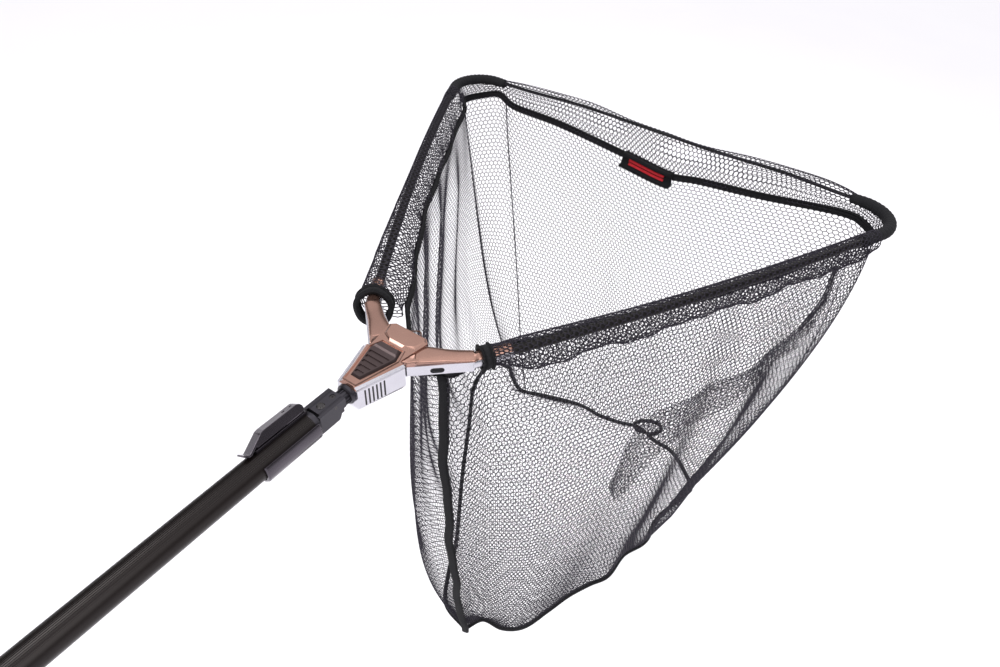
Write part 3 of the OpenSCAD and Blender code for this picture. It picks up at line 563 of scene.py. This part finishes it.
def build_painted_shade(materials):
    """Painted shade: dark strips on the shadowed floors of the grip grooves, and dark plugs for the
    shade inside the oval holes.
    """
    b = np.linspace(0, 2 * math.pi, 32, endpoint=False)
    for side, label in SIDES:
        for i in range(GROOVES):
            x0, y0 = GROOVE_AT[0] + GROOVE_STEP[0] * i, GROOVE_AT[1] + GROOVE_STEP[1] * i
            c, w = math.cos(GROOVE_TURN), math.sin(GROOVE_TURN)
            outline = ((0, 0.0001), (GROOVE_LONG, 0.0001), (GROOVE_LONG, GROOVE_WIDE),
                       (0, GROOVE_WIDE))
            rings = []
            for z in GROOVE_HEIGHTS:
                ring = [(x0 + c * u - w * v, y0 + w * u + c * v) for u, v in outline]
                rings.append([(side * x, y, z) for x, y in ring])
            verts, faces = loft(np.array(rings))
            # each strip is painted shadow on a groove's floor
            inset = make_object(f"{label}_groove_{i + 1}", verts, faces, materials["groove"], False)
            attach(inset, "head")
        # painted shade: a dark plug across each oval hole, where its inside falls in shadow
        along = np.where(np.cos(b) > 0, 0.0036, -0.0036) + 0.0032 * np.cos(b)
        rings = [bar_point(0.37 + along / np.linalg.norm(BAR_END - BAR_START), w + 0 * b,
                           -0.0026 + 0.0032 * np.sin(b), side) for w in (-0.0075, 0.0082)]
        verts, faces = loft(np.array(rings))
        shadow_plug = make_object(f"{label}_hole_lining", verts, faces, materials["groove"], False)
        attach(shadow_plug, f"{label}_arm")


# --- bag surfaces -------------------------------------------------------------------
def spline_at(points):
    """Function giving the place at 0..1 along a smooth curve through points."""
    dense = curve_through(points, 400)
    grid = np.linspace(0, 1, 400)

    def at(t):
        return np.stack([np.interp(t, grid, dense[:, k]) for k in range(3)], -1)

    return at


def tape_inset(l):
    """How far inside its arm the hem tape runs."""
    return 0.0225 + 0.010 * (1 - smooth((l - 0.10) / 0.25))


def tape_at(l, side):
    """Hem tape under an arm, at length l along it."""
    z = -0.027 - 0.004 * np.sin(l * 16) + 0.007 * (1 - smooth((l - 0.10) / 0.10))
    return arm_point(l, tape_inset(l) + 0.0012 * np.sin(l * 55 + side), z, side)


# share of a panel's width behind the arm, and where on the arm its front corner is
REAR_SHARE = {1: 0.10, -1: 0.19}
CORNER_FROM = 0.640
# where the tape turns, between the rear seam and the arm
REAR_TURN = {1: [0.052, 0.068, -0.020], -1: [-0.002, 0.064, -0.038]}
# the tape along the front, from the right corner to the left one
FRONT_TAPE = [[0.338, 0.606, -0.027], [0.318, 0.632, -0.023], [0.284, 0.640, -0.022],
              [0.174, 0.640, -0.038], [0.082, 0.638, -0.047], [0.030, 0.638, -0.055],
              [-0.047, 0.640, -0.047], [-0.171, 0.641, -0.034], [-0.262, 0.641, -0.031],
              [-0.294, 0.640, -0.018], [-0.321, 0.634, -0.024], [-0.341, 0.604, -0.028]]
FRONT_LINE = spline_at(
    [tape_at(CORNER_FROM, 1)] + FRONT_TAPE + [tape_at(CORNER_FROM, -1)])
REAR_LINE = {
    side: spline_at([REAR_TOP, REAR_TURN[side], tape_at(SLEEVE_FROM + 0.01, side)])
    for side in (1, -1)
}
# seam between the front panel and the floor, from the right corner to the left one
FRONT_SEAM = spline_at([
    RIGHT_BASE, [0.250, 0.437, -0.450], [0.205, 0.469, -0.444], [0.168, 0.476, -0.446],
    [0.131, 0.492, -0.452], [0.100, 0.480, -0.450], [0.062, 0.471, -0.448], [0.018, 0.476, -0.454],
    [-0.040, 0.454, -0.450], [-0.082, 0.441, -0.452], [-0.112, 0.456, -0.450], LEFT_BASE])
RIGHT_SEAM = spline_at([
    REAR_BASE, [0.056, 0.140, -0.676], [0.094, 0.142, -0.664], [0.126, 0.156, -0.642],
    [0.148, 0.190, -0.616], [0.166, 0.218, -0.590], [0.186, 0.246, -0.574], [0.208, 0.264, -0.548],
    [0.214, 0.300, -0.528], [0.234, 0.330, -0.508], [0.235, 0.366, -0.486], RIGHT_BASE])
LEFT_SEAM = spline_at([
    REAR_BASE, [-0.016, 0.130, -0.688], [-0.040, 0.170, -0.655], [-0.058, 0.214, -0.640],
    [-0.112, 0.302, -0.590], [-0.152, 0.376, -0.534], [-0.176, 0.424, -0.484],
    [-0.166, 0.466, -0.454], LEFT_BASE])


def rim(s, side):
    """Top edge of a side panel, from the rear seam to the front corner."""
    share = REAR_SHARE[side]
    rear = REAR_LINE[side](np.clip(s / share, 0, 1))
    start = SLEEVE_FROM + 0.01
    l = start + (CORNER_FROM - start) * np.clip((s - share) / (1 - share), 0, 1)
    return np.where((s < share)[..., None], rear, tape_at(l, side))


def base_edge(s, side):
    """Seam between a side panel and the floor panel."""
    return (RIGHT_SEAM if side > 0 else LEFT_SEAM)(s)


# by side: how far a panel swells, how low, which way, and how its rear part falls
BELLY = {1: 0.030, -1: 0.034}
BELLY_LOW = {1: 1.0, -1: 1.8}
OUTWARD = {1: np.array([0.83, -0.55, 0.0]), -1: np.array([-0.83, -0.55, 0.0])}
REAR_FALL = {1: 0.9, -1: 1.3}


def side_panel(s, t, side):
    """Side panel at s along the arm from the rear seam, t down from rim to floor."""
    s = np.clip(s, 0, 1)
    top, bottom = rim(s, side), base_edge(s, side)
    rear_part = 1 - smooth(s / 0.35)
    fall = t ** (1.2 + REAR_FALL[side] * rear_part)
    p = mix(top, bottom, fall)
    p[..., 2] = top[..., 2] * (1 - t) + bottom[..., 2] * t
    low = np.clip(t, 0, 1) ** BELLY_LOW[side]
    belly = BELLY[side] * np.sin(math.pi * low) * (0.35 + 0.65 * np.sin(math.pi * s))
    depth = np.clip(t * 5, 0, 1)
    if side > 0:
        folds = 0.0055 * np.sin(24 * s + 3.0 * t) * smooth(t * 2) * smooth((s - 0.45) * 4)
        folds = folds + 0.004 * np.sin(13 * s - 2 * t)
    else:
        folds = 0.0052 * np.sin(26 * s + 2.2 * np.sin(3 * t)) + 0.0022 * np.sin(57 * s + 5 * t)
        folds = folds * (0.3 + 0.7 * smooth(s * 1.6))
    edge = np.clip(s * 8, 0, 1) * np.clip((1 - s) * 8, 0, 1) * np.clip((1 - t) * 6, 0, 1)
    belly = belly * np.clip(s * 12, 0.25, 1)
    if side > 0:
        swell = 0.025 * np.sin(math.pi * np.clip(t, 0, 1) ** 0.8) * smooth((s - 0.62) / 0.38)
        p = p + np.array([0.80, 0.60, 0.0]) * swell[..., None]
    return p + OUTWARD[side] * (belly + folds * depth * edge)[..., None]


def corner_line(t, side):
    return side_panel(np.ones_like(t), t, side)


def front_panel(s, t):
    """Front panel at s from the right corner to the left, t down from its tape."""
    top, bottom = FRONT_LINE(s), FRONT_SEAM(s)
    right, left = corner_line(t, 1), corner_line(t, -1)
    flat = mix(top, bottom, t)
    edge_right = right - mix(FRONT_LINE(0.0 * s), FRONT_SEAM(0.0 * s), t)
    edge_left = left - mix(FRONT_LINE(0.0 * s + 1), FRONT_SEAM(0.0 * s + 1), t)
    near_right, near_left = 1 - smooth(s * 2.5), 1 - smooth((1 - s) * 2.5)
    p = flat + edge_right * near_right[..., None] + edge_left * near_left[..., None]
    arc = np.sin(math.pi * np.clip(s, 0, 1))
    inner = np.clip(t * 4, 0, 1) * np.clip((1 - t) * 6, 0, 1)
    p[..., 1] += 0.020 * arc * np.sin(math.pi * t)
    slow = 0.007 * arc * np.sin(8 * s + 2.5 * t) * inner
    quick = 0.003 * arc * np.sin(31 * s + 3 * t) * inner
    p[..., 1] += slow + quick
    return p


def mirrored_weights(points, side):
    """How far each point follows an arm: 1 at the arm, 0 on the bag's middle."""
    x, y, z = points[:, 0], points[:, 1], points[:, 2]
    l = np.clip(np.clip(y, 0.0, 0.60) / math.cos(ARM_HEADING - ARM_TURN / 2), 0, ARM_LENGTH)
    edge = arm_point(l, 0.026, 0, 1)[:, 0]
    middle = REAR_TOP[0] * (1 - smooth((y - 0.08) / 0.25))
    share = (side * (x - middle)) / np.maximum(edge - side * middle, 0.01)
    depth = 1 - smooth((-z - 0.07) / 0.34)
    return np.clip(share, 0, 1) * depth


def follow_arm(obj, side):
    """Bakes a soft piece's transform and works out, for each point, how near the arm it hangs."""
    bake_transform(obj)
    co = np.zeros(len(obj.data.vertices) * 3, np.float32)
    obj.data.vertices.foreach_get("co", co)
    w = mirrored_weights(co.reshape(-1, 3).astype(float), side)


def drape(obj, side, node):
    """Bakes a soft piece's transform, works out how near the arm each point hangs, and hides the
    CAD node it replaces.
    """
    follow_arm(obj, side)
    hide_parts(node)


# --- netting ------------------------------------------------------------------------
SIDE_THREAD_R = {1: THREAD_R, -1: THREAD_R * 0.78}


def build_side_panels(materials):
    for side, label in SIDES:
        cols, rows = SIDE_CELLS
        nodes, edges = honeycomb(cols, rows)

        def surface(u, v, side=side, cols=cols, rows=rows):
            along = np.clip(u / cols, 0, 1) ** (1.0 if side > 0 else 0.75)
            return side_panel(along, np.clip(v / rows, 0, 1), side)

        obj = net_mesh(
            f"net_{label}_panel_mesh", nodes, edges, surface, SIDE_THREAD_R[side],
            materials["thread"])
        drape(obj, side, f"net_{label}_panel")


def build_front_panel(materials):
    for side, label in SIDES:
        cols, rows = FRONT_CELLS
        nodes, edges = honeycomb(cols, rows)

        def surface(u, v, side=side, cols=cols, rows=rows):
            return front_panel(0.5 - side * 0.5 * (1 - u / cols), np.clip(v / rows, 0, 1))

        obj = net_mesh(
            f"net_front_{label}_mesh", nodes, edges, surface, THREAD_R, materials["thread"])
        drape(obj, side, "net_front_panel")


PLEAT_UPPER = spline_at([[0.99, 0.05, 0], [0.935, 0.25, 0], [0.77, 0.29, 0], [0.64, 0.28, 0],
                         [0.52, 0.29, 0], [0.462, 0.36, 0], [0.44, 0.50, 0]])
PLEAT_LOWER = spline_at([[0.99, 0.09, 0], [0.965, 0.335, 0], [0.805, 0.38, 0], [0.70, 0.41, 0],
                         [0.595, 0.405, 0], [0.54, 0.47, 0], [0.478, 0.58, 0]])


def build_pleat(materials):
    """Slack netting folded double behind the right side, down from the corner."""
    for layer, slant in ((1, 0.36), (2, 0.28)):
        cols, rows = PLEAT_CELLS
        nodes, edges = honeycomb(cols, rows, slant)

        def surface(u, v, layer=layer, cols=cols, rows=rows):
            along, across = np.clip(u / cols, 0, 1), np.clip(v / rows, 0, 1)
            spot = mix(PLEAT_UPPER(along), PLEAT_LOWER(along), 0.04 * (layer - 1) + 0.94 * across)
            p = side_panel(spot[..., 0], spot[..., 1], 1)
            inward = 0.004 * layer + 0.003 * np.sin(math.pi * across) + 0.001 * np.sin(40 * along)
            return p + np.array([-0.83, 0.45, 0.0]) * inward[..., None]

        obj = net_mesh(
            f"net_pleat_{layer}", nodes, edges, surface, THREAD_R * 0.75, materials["thread"])
        drape(obj, 1, "net_right_panel")


def build_floor_panel(materials):
    """Floor panel: rows from the rear corner to the front seam, side seam to side seam."""
    cols, rows = FLOOR_CELLS
    nodes, edges = honeycomb(cols, rows)

    def surface(u, v):
        s, t = np.clip(u / cols, 0, 1), np.clip(v / rows, 0, 1)
        right, left = base_edge(t, 1), base_edge(t, -1)
        front = FRONT_SEAM(s) - mix(RIGHT_BASE, LEFT_BASE, s)
        p = mix(right, left, s) + front * (smooth((t - 0.5) * 2))[..., None]
        arc = np.sin(math.pi * s)
        p[..., 2] -= 0.022 * arc * np.sin(math.pi * t)
        p[..., 2] += 0.004 * arc * np.sin(11 * s + 9 * t)
        return p

    keep = nodes[:, 1] > 3
    edges = edges[keep[edges].all(1)]
    obj = net_mesh("net_base_mesh", nodes, edges, surface, THREAD_R, materials["thread"])
    settle(obj, "head", "net_base_panel")


def cord_line(s):
    """Front cord from the right elbow's end (s 0) to the left one (s 1)."""
    x = FRONT_HALF * (1 - 2 * s)
    swell = np.sin(math.pi * s)
    y = FRONT_Y + 0.009 * swell + 0.0025 * np.sin(17 * s) * swell
    return np.stack([x, y, 0.003 * np.sin(11 * s) * swell], -1)


def elbow_arc(side, lift):
    """Points over an elbow, from the arm's end to the front cord."""
    a = np.radians([-18.0, 12.0, 45.0, 78.0])
    x = side * (ELBOW_CENTRE[0] + ELBOW_R * np.cos(a))
    y = ELBOW_CENTRE[1] + ELBOW_R * np.sin(a)
    return np.stack([x, y, 0 * a + lift], -1).tolist()


BAND_TOP = spline_at(
    [arm_point(0.655, 0.004, 0.004, 1)] + elbow_arc(1, 0.004)
    + [(cord_line(s) + np.array([0, 0, 0.0075 + 0.004 * math.sin(9 * s + 0.6)])).tolist()
       for s in np.linspace(0.02, 0.98, 13)]
    + elbow_arc(-1, 0.004)[::-1] + [arm_point(0.655, 0.004, 0.004, -1)])


def build_front_band(materials):
    """Tunnel of netting over the front cord, sewn into the tape."""
    for side, label in SIDES:
        cols, rows = BAND_CELLS
        nodes, edges = honeycomb(cols, rows)

        def surface(u, v, side=side, cols=cols, rows=rows):
            s = np.clip(0.5 - side * 0.5 * (1 - u / cols), 0.0, 1.0)
            turn = np.clip(v / rows, 0, 1) * 2 - 1
            ends = np.clip(np.minimum(s, 1 - s) * 7 - 0.35, 0, 1)
            p = mix(BAND_TOP(s), FRONT_LINE(s), np.abs(turn) ** (1.0 + 0.25 * ends))
            bulge = 0.012 + 0.006 * np.sin(8 * s)
            swell = np.where(turn > 0, bulge, -0.004) * np.sin(math.pi * np.abs(turn))
            p[..., 1] += swell * (0.2 + 0.8 * ends)
            p[..., 1] += 0.0015 * np.sin(41 * s + 4 * turn)
            return p

        obj = net_mesh(
            f"front_band_{label}_mesh", nodes, edges, surface, THREAD_R, materials["thread"])
        drape(obj, side, "front_hem_band")


# section of the folded netting round an arm, in millimetres: outward, up
SLEEVE_LOOP = np.array([
    [0.0, 7.4], [6.0, 5.2], [9.6, -4.0], [10.8, -16.0], [6.0, -28.0],
    [-5.0, -33.0], [-15.0, -32.0], [-22.0, -28.0], [-17.5, -11.0], [-8.0, 4.2],
]) * 0.001
# right sleeve is snug near the cuff; the left one stands off its arm and sags
SLEEVE_SNUG = {1: 0.0102, -1: 0.0182}
SLEEVE_OUT = {1: 0.002, -1: 0.0085}
SLEEVE_BACK = {1: 0.15, -1: 0.8}
SLEEVE_DROP = {1: 0.0, -1: 0.0060}
SLEEVE_TIP_R = 0.009


def sleeve_section(a, l, side):
    """Loose loop of netting round an arm: outward and up, at a (0..1) round it."""
    ring = np.concatenate([SLEEVE_LOOP, SLEEVE_LOOP[:1]])
    closed = spline_at(np.concatenate([ring, np.zeros((len(ring), 1))], 1))
    loose = closed(a % 1.0)[..., :2]
    near = 1 - smooth((l - 0.10) / 0.30)
    out, back = np.clip(loose[..., 0] / 0.0108, 0, 1), np.clip(-loose[..., 0] / 0.022, 0, 1)
    shift = out * (SLEEVE_OUT[side] * near) - back * (tape_inset(l) - 0.022)
    loose = loose + np.stack([shift, 0 * l], -1)
    angle = math.pi / 2 - 2 * math.pi * a
    snug = SLEEVE_SNUG[side] * np.stack([np.cos(angle), np.sin(angle)], -1)
    drop = SLEEVE_DROP[side] * (1 - smooth((l - 0.20) / 0.30))
    end = smooth((l - 0.600) / 0.055)
    share = smooth((l - SLEEVE_FROM) / 0.050)
    share = share + (1 - share) * SLEEVE_BACK[side] * back
    share = share * (1 - 0.5 * end)
    tip = end[..., None]
    closed_end = SLEEVE_TIP_R * tip * snug / np.linalg.norm(snug, axis=-1, keepdims=True)
    section = mix(snug * (1 - tip) + closed_end, loose, share)
    section[..., 1] -= drop * (1 - share)
    hang = np.clip(-section[..., 1] / 0.03, 0, 1)
    section[..., 0] += hang * (0.0022 * np.sin(l * 70 + side) + 0.0012 * np.sin(l * 173))
    section[..., 1] -= hang * 0.0025 * np.sin(l * 41 + 2 * side)
    return section


def build_sleeves(materials):
    """Netting folded over each arm and sewn to the tape below."""
    for side, label in SIDES:
        around, rows = SLEEVE_CELLS
        nodes, edges = honeycomb(around, rows)

        def surface(u, v, side=side, around=around, rows=rows):
            l = SLEEVE_FROM + (SLEEVE_TO - SLEEVE_FROM) * np.clip(v / rows, 0, 1)
            section = sleeve_section(u / around, l, side)
            return arm_point(l, -section[..., 0], section[..., 1], side)

        obj = net_mesh(
            f"{label}_sleeve_mesh", nodes, edges, surface, THREAD_R * 1.15, materials["thread"])
        settle(obj, f"{label}_arm", f"{label}_arm_sleeve")


# --- tapes, cords and cuffs ---------------------------------------------------------
def build_arm_tapes(materials):
    """Tape along the lower edge of each sleeve, from the rear seam to the corner."""
    for side, label in SIDES:
        rear = REAR_LINE[side](np.linspace(0, 1, 24)[:-1])
        along_arm = np.linspace(SLEEVE_FROM + 0.01, CORNER_FROM, 90)
        pts = np.concatenate([rear, tape_at(along_arm, side)])
        verts, faces = sweep(pts, band(0.0028, 0.0080))
        obj = make_object(f"{label}_hem_tape_sewn", verts, faces, materials["tape"])
        drape(obj, side, f"{label}_hem_tape")


def build_corner_wraps(materials):
    """Tape wound over each bent corner, down to the front cord."""
    end_angle = ARM_HEADING - ARM_TURN + math.pi / 2
    for side, label in SIDES:
        straight = arm_point(np.linspace(ARM_LENGTH - 0.040, ARM_LENGTH, 16), 0, 0, side)
        turn = np.linspace(0.03, end_angle, 44)
        a0 = -ARM_HEADING + ARM_TURN
        p = arm_point(ARM_LENGTH)
        bend = np.stack(
            [side * (p[0] - ELBOW_R * (math.cos(a0) - np.cos(a0 + turn))),
             p[1] - ELBOW_R * (math.sin(a0) - np.sin(a0 + turn)), 0 * turn], -1)
        inward = side * np.linspace(0.002, 0.0135, 6)
        last = bend[-1] - np.stack([inward, 0 * inward, 0 * inward], -1)
        pts = np.concatenate([straight, bend, last])
        n = len(pts)
        size = np.interp(np.arange(n), [0, 3, 20, n - 12, n - 2, n - 1],
                         [0.0068, 0.0080, 0.0080, 0.0076, 0.0068, 0.0045])
        size = size + 0.00035 * np.sin(np.arange(n) * 2.1)
        a = np.linspace(0, 2 * math.pi, 20, endpoint=False)
        section = size[:, None, None] * np.stack([np.cos(a), np.sin(a)], -1)[None]
        verts, faces = sweep(pts, section)
        obj = make_object(f"{label}_corner_tape", verts, faces, materials["tape"])
        settle(obj, f"{label}_arm", f"{label}_corner_wrap")


def build_cuffs(materials):
    """Elastic cuffs: the right one is snug, the left one hangs loose."""
    a = np.linspace(0, 2 * math.pi, 64, endpoint=False)
    for side, label, radius, drop, tilt, width in (
        (1, "right", 0.0112, 0.0, 0.0, 0.0105),
        (-1, "left", 0.0188, -0.0060, 0.25, 0.0100),
    ):
        l = CUFF_AT + (0.006 if side > 0 else 0.002) + (radius * np.sin(a)) * tilt
        wobble = 1 + 0.02 * np.sin(5 * a)
        pts = arm_point(l, -radius * np.cos(a) * wobble, drop + radius * np.sin(a) * wobble, side)
        d = arm_point(CUFF_AT + 0.02, 0, 0, side) - arm_point(CUFF_AT, 0, 0, side)
        section = band(0.0036, width)
        verts, faces = sweep(pts, section, up=unit(d), closed=True)
        obj = make_object(f"{label}_cuff_band", verts, faces, materials["tape"])
        settle(obj, f"{label}_arm", f"{label}_cuff")


def build_rear_seam(materials):
    """Folded tape sewn down the rear corner, from under the head to the floor."""
    t = np.linspace(0, 1, 90)
    pts = side_panel(0 * t, t, 1) + np.array([0.001, -0.003, 0.0])
    pts[:, 0] += 0.0022 * np.sin(t * 21) + 0.001 * np.sin(t * 47)
    verts, faces = sweep(pts, band(0.0125, 0.0058), up=(0.3, -1.0, 0))
    obj = make_object("rear_seam_tape_sewn", verts, faces, materials["tape"])
    settle(obj, "head", "rear_seam_tape")


def piping_loop():
    """Slack in the piping by the right corner: it makes one small loop."""
    a = np.linspace(0, 2 * math.pi, 16)
    c = np.array([0.158, 0.486, -0.446])
    return np.stack([c[0] + 0.020 * np.sin(a), c[1] + 0.010 * np.sin(a) - 0.002 * a,
                     c[2] + 0.016 * (1 - np.cos(a))], -1)


def build_piping(materials):
    s = np.linspace(0, 1, 110)
    front = FRONT_SEAM(s)
    cut = int(np.argmin(np.abs(front[:, 0] - 0.150)))
    loop = piping_loop()
    loop += (front[cut] - loop[0]) * np.linspace(1, 0, 16)[:, None]
    loop += (front[cut + 1] - loop[-1]) * np.linspace(0, 1, 16)[:, None]
    pts = np.concatenate([
        base_edge(s, 1), front[1:cut], loop, front[cut + 2:], base_edge(s[::-1], -1)[1:-1],
    ])
    verts, faces = sweep(pts, oval(0.0074, 0.0062), closed=True, up=(0.1, 0.2, 1))
    obj = make_object("base_piping_cord", verts, faces, materials["cord"])
    settle(obj, "head", "base_piping")


def build_corner_seams(materials):
    """Thin stitched seam down each front corner of the bag."""
    t = np.linspace(0, 1, 90)
    for side, label in SIDES:
        pts = corner_line(t, 1) if side > 0 else front_panel(0.845 + 0.004 * np.sin(7 * t), t)
        pts[:, 1] += 0.002
        width = 0.0012 if side > 0 else 0.0020
        verts, faces = sweep(pts, oval(width, width, 6), up=(0.3, 1, 0))
        obj = make_object(f"{label}_corner_seam", verts, faces, materials["thread"])
        drape(obj, side, f"net_{label}_panel")


def build_front_cords(materials):
    for side, label in SIDES:
        s = np.linspace(0, 0.5, 70) if side > 0 else np.linspace(1, 0.5, 70)
        pts = cord_line(s)
        verts, faces = sweep(pts, oval(0.0050, 0.0050))
        obj = make_object(f"front_cord_{label}", verts, faces, materials["cord"])
        drape(obj, side, "front_cord")
        pts = FRONT_LINE(s)
        verts, faces = sweep(pts, band(0.0028, 0.0088))
        obj = make_object(f"front_hem_tape_{label}", verts, faces, materials["tape"])
        drape(obj, side, "front_hem_tape")


def build_label(materials):
    """Woven tag sewn over the front tape, with two plain red stripes."""
    s = np.linspace(0.447, 0.556, 22)
    line = FRONT_LINE(s) + np.array([0, -0.0036, 0.004])
    verts, faces = sweep(line + np.array([0, 0, -0.0095]), band(0.0022, 0.021, 5))
    obj = make_object("label_cloth_tag", verts, faces, materials["label"])
    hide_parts("label_tag")
    pieces = [obj]
    for k, z in enumerate((-0.0065, -0.0125)):
        part = line[3:-3] + np.array([0, -0.0012, z])
        verts, faces = sweep(part, band(0.0008, 0.0038, 4))
        pieces.append(make_object(f"label_stripe_{k + 1}", verts, faces, materials["label_red"]))
    for piece in pieces:
        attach(piece, "head")


def build_tie_cord(materials):
    lo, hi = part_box("net_tie_cord")
    a = np.linspace(0, 2 * math.pi, 48, endpoint=False)
    cx, cy = (lo.x + hi.x) / 2, (lo.y + hi.y) / 2
    r = (hi.x - lo.x) / 2 - 0.0008
    pts = np.stack([cx + r * np.cos(a), cy + r * np.sin(a),
                    (lo.z + hi.z) / 2 + 0.0015 * np.sin(a * 2)], -1)
    verts, faces = sweep(pts, oval(0.0015, 0.0015, 8), closed=True)
    obj = make_object("tie_cord_loop", verts, faces, materials["twine"])
    settle(obj, "head", "net_tie_cord")


# --- stage --------------------------------------------------------------------------
def build_world():
    """Even pale light for what the camera sees, banded softboxes in reflections."""
    world = bpy.data.worlds.new("studio")
    bpy.context.scene.world = world
    world.use_nodes = True
    tree = world.node_tree
    plain = tree.nodes["Background"]
    plain.inputs["Color"].default_value = (0.985, 0.975, 1.0, 1)
    plain.inputs["Strength"].default_value = 1.05
    soft = tree.nodes.new("ShaderNodeBackground")
    tex = tree.nodes.new("ShaderNodeTexCoord")
    split = tree.nodes.new("ShaderNodeSeparateXYZ")
    bands = tree.nodes.new("ShaderNodeValToRGB")
    spread = tree.nodes.new("ShaderNodeMapRange")
    spread.inputs["From Min"].default_value = -1.0
    stops = bands.color_ramp.elements
    for place, grey in (
        (0.0, 0.9), (0.50, 0.85), (0.55, 0.30), (0.62, 0.05), (0.71, 0.08), (0.77, 0.75),
    ):
        stop = stops.new(place)
        stop.color = (grey, grey, grey * 1.03, 1)
    stops.remove(stops[0])
    stops[-1].color = (1.3, 1.28, 1.3, 1)
    tree.links.new(tex.outputs["Generated"], split.inputs[0])
    tree.links.new(split.outputs["Z"], spread.inputs["Value"])
    tree.links.new(spread.outputs["Result"], bands.inputs["Fac"])
    tree.links.new(bands.outputs["Color"], soft.inputs["Color"])
    path = tree.nodes.new("ShaderNodeLightPath")
    blend = tree.nodes.new("ShaderNodeMixShader")
    tree.links.new(path.outputs["Is Glossy Ray"], blend.inputs[0])
    tree.links.new(plain.outputs[0], blend.inputs[1])
    tree.links.new(soft.outputs[0], blend.inputs[2])
    tree.links.new(blend.outputs[0], tree.nodes["World Output"].inputs["Surface"])


def aim(obj, x_axis, y_axis, z_axis, place):
    """Sets an object's place and its three axes."""
    obj.matrix_world = Matrix(
        [[x_axis[i], y_axis[i], z_axis[i], place[i]] for i in range(3)] + [[0, 0, 0, 1]]
    )


FLOOR_HALF = 14.0
FLOOR_DROP = 0.35
LIGHT_TARGET = np.array([0.05, 0.2, -0.2])
# name, place, size in metres and power in watts
LIGHTS = (
    ("key", (-0.9, -0.6, 2.2), 1.4, 34),
    ("fill", (1.8, -0.8, 1.4), 1.6, 14),
    ("back", (0.2, 2.4, 1.8), 1.8, 18),
)


def build_stage():
    mat, tree, bsdf = node_material("pale_floor")
    vector = coords(tree)
    tree.links.new(tint(tree, noise(tree, vector, 2.0), (0.90, 0.89, 0.91), (0.93, 0.92, 0.94)),
                   bsdf.inputs["Base Color"])
    bsdf.inputs["Roughness"].default_value = 0.9
    bsdf.inputs["Specular IOR Level"].default_value = 0.0
    z = CAD_BOX[0].z - FLOOR_DROP
    verts = [(x * FLOOR_HALF, y * FLOOR_HALF, z) for x, y in ((-1, -1), (1, -1), (1, 1), (-1, 1))]
    floor = make_object("floor", verts, [(0, 1, 2, 3)], mat)
    build_world()
    bpy.context.scene.view_settings.view_transform = "Standard"
    for name, place, size, power in LIGHTS:
        light = bpy.data.lights.new(name, "AREA")
        light.shape = "SQUARE"
        light.size = size
        light.energy = power
        obj = bpy.data.objects.new(name, light)
        bpy.context.scene.collection.objects.link(obj)
        toward = LIGHT_TARGET - np.array(place)
        z_axis = -toward / np.linalg.norm(toward)
        x_axis = np.cross([0, 1, 0.01], z_axis)
        x_axis /= np.linalg.norm(x_axis)
        aim(obj, x_axis, np.cross(z_axis, x_axis), z_axis, place)


CAMERA_LENS = 25.2
CAMERA_AT = np.array([0.3516, -0.3315, 0.4845])
CAMERA_RIGHT = np.array([0.8205, 0.5697, 0.0474])
CAMERA_DOWN = np.array([0.4117, -0.5315, -0.7403])


def build_camera():
    camera = bpy.data.cameras.new("camera")
    camera.sensor_width = 36
    camera.lens = CAMERA_LENS
    camera.clip_start = 0.02
    obj = bpy.data.objects.new("camera", camera)
    bpy.context.scene.collection.objects.link(obj)
    ahead = np.cross(CAMERA_RIGHT, CAMERA_DOWN)
    ahead /= np.linalg.norm(ahead)
    right = CAMERA_RIGHT / np.linalg.norm(CAMERA_RIGHT)
    aim(obj, right, -np.cross(ahead, right), -ahead, CAMERA_AT)
    bpy.context.scene.camera = obj


materials = make_materials()
dress_frame(materials)
build_side_panels(materials)
build_front_panel(materials)
build_floor_panel(materials)
build_pleat(materials)
build_front_band(materials)
build_sleeves(materials)
build_arm_tapes(materials)
build_corner_wraps(materials)
build_cuffs(materials)
build_rear_seam(materials)
build_piping(materials)
build_arm_covers(materials)
build_painted_shade(materials)
build_corner_seams(materials)
build_front_cords(materials)
build_label(materials)
build_tie_cord(materials)
build_stage()
build_camera()
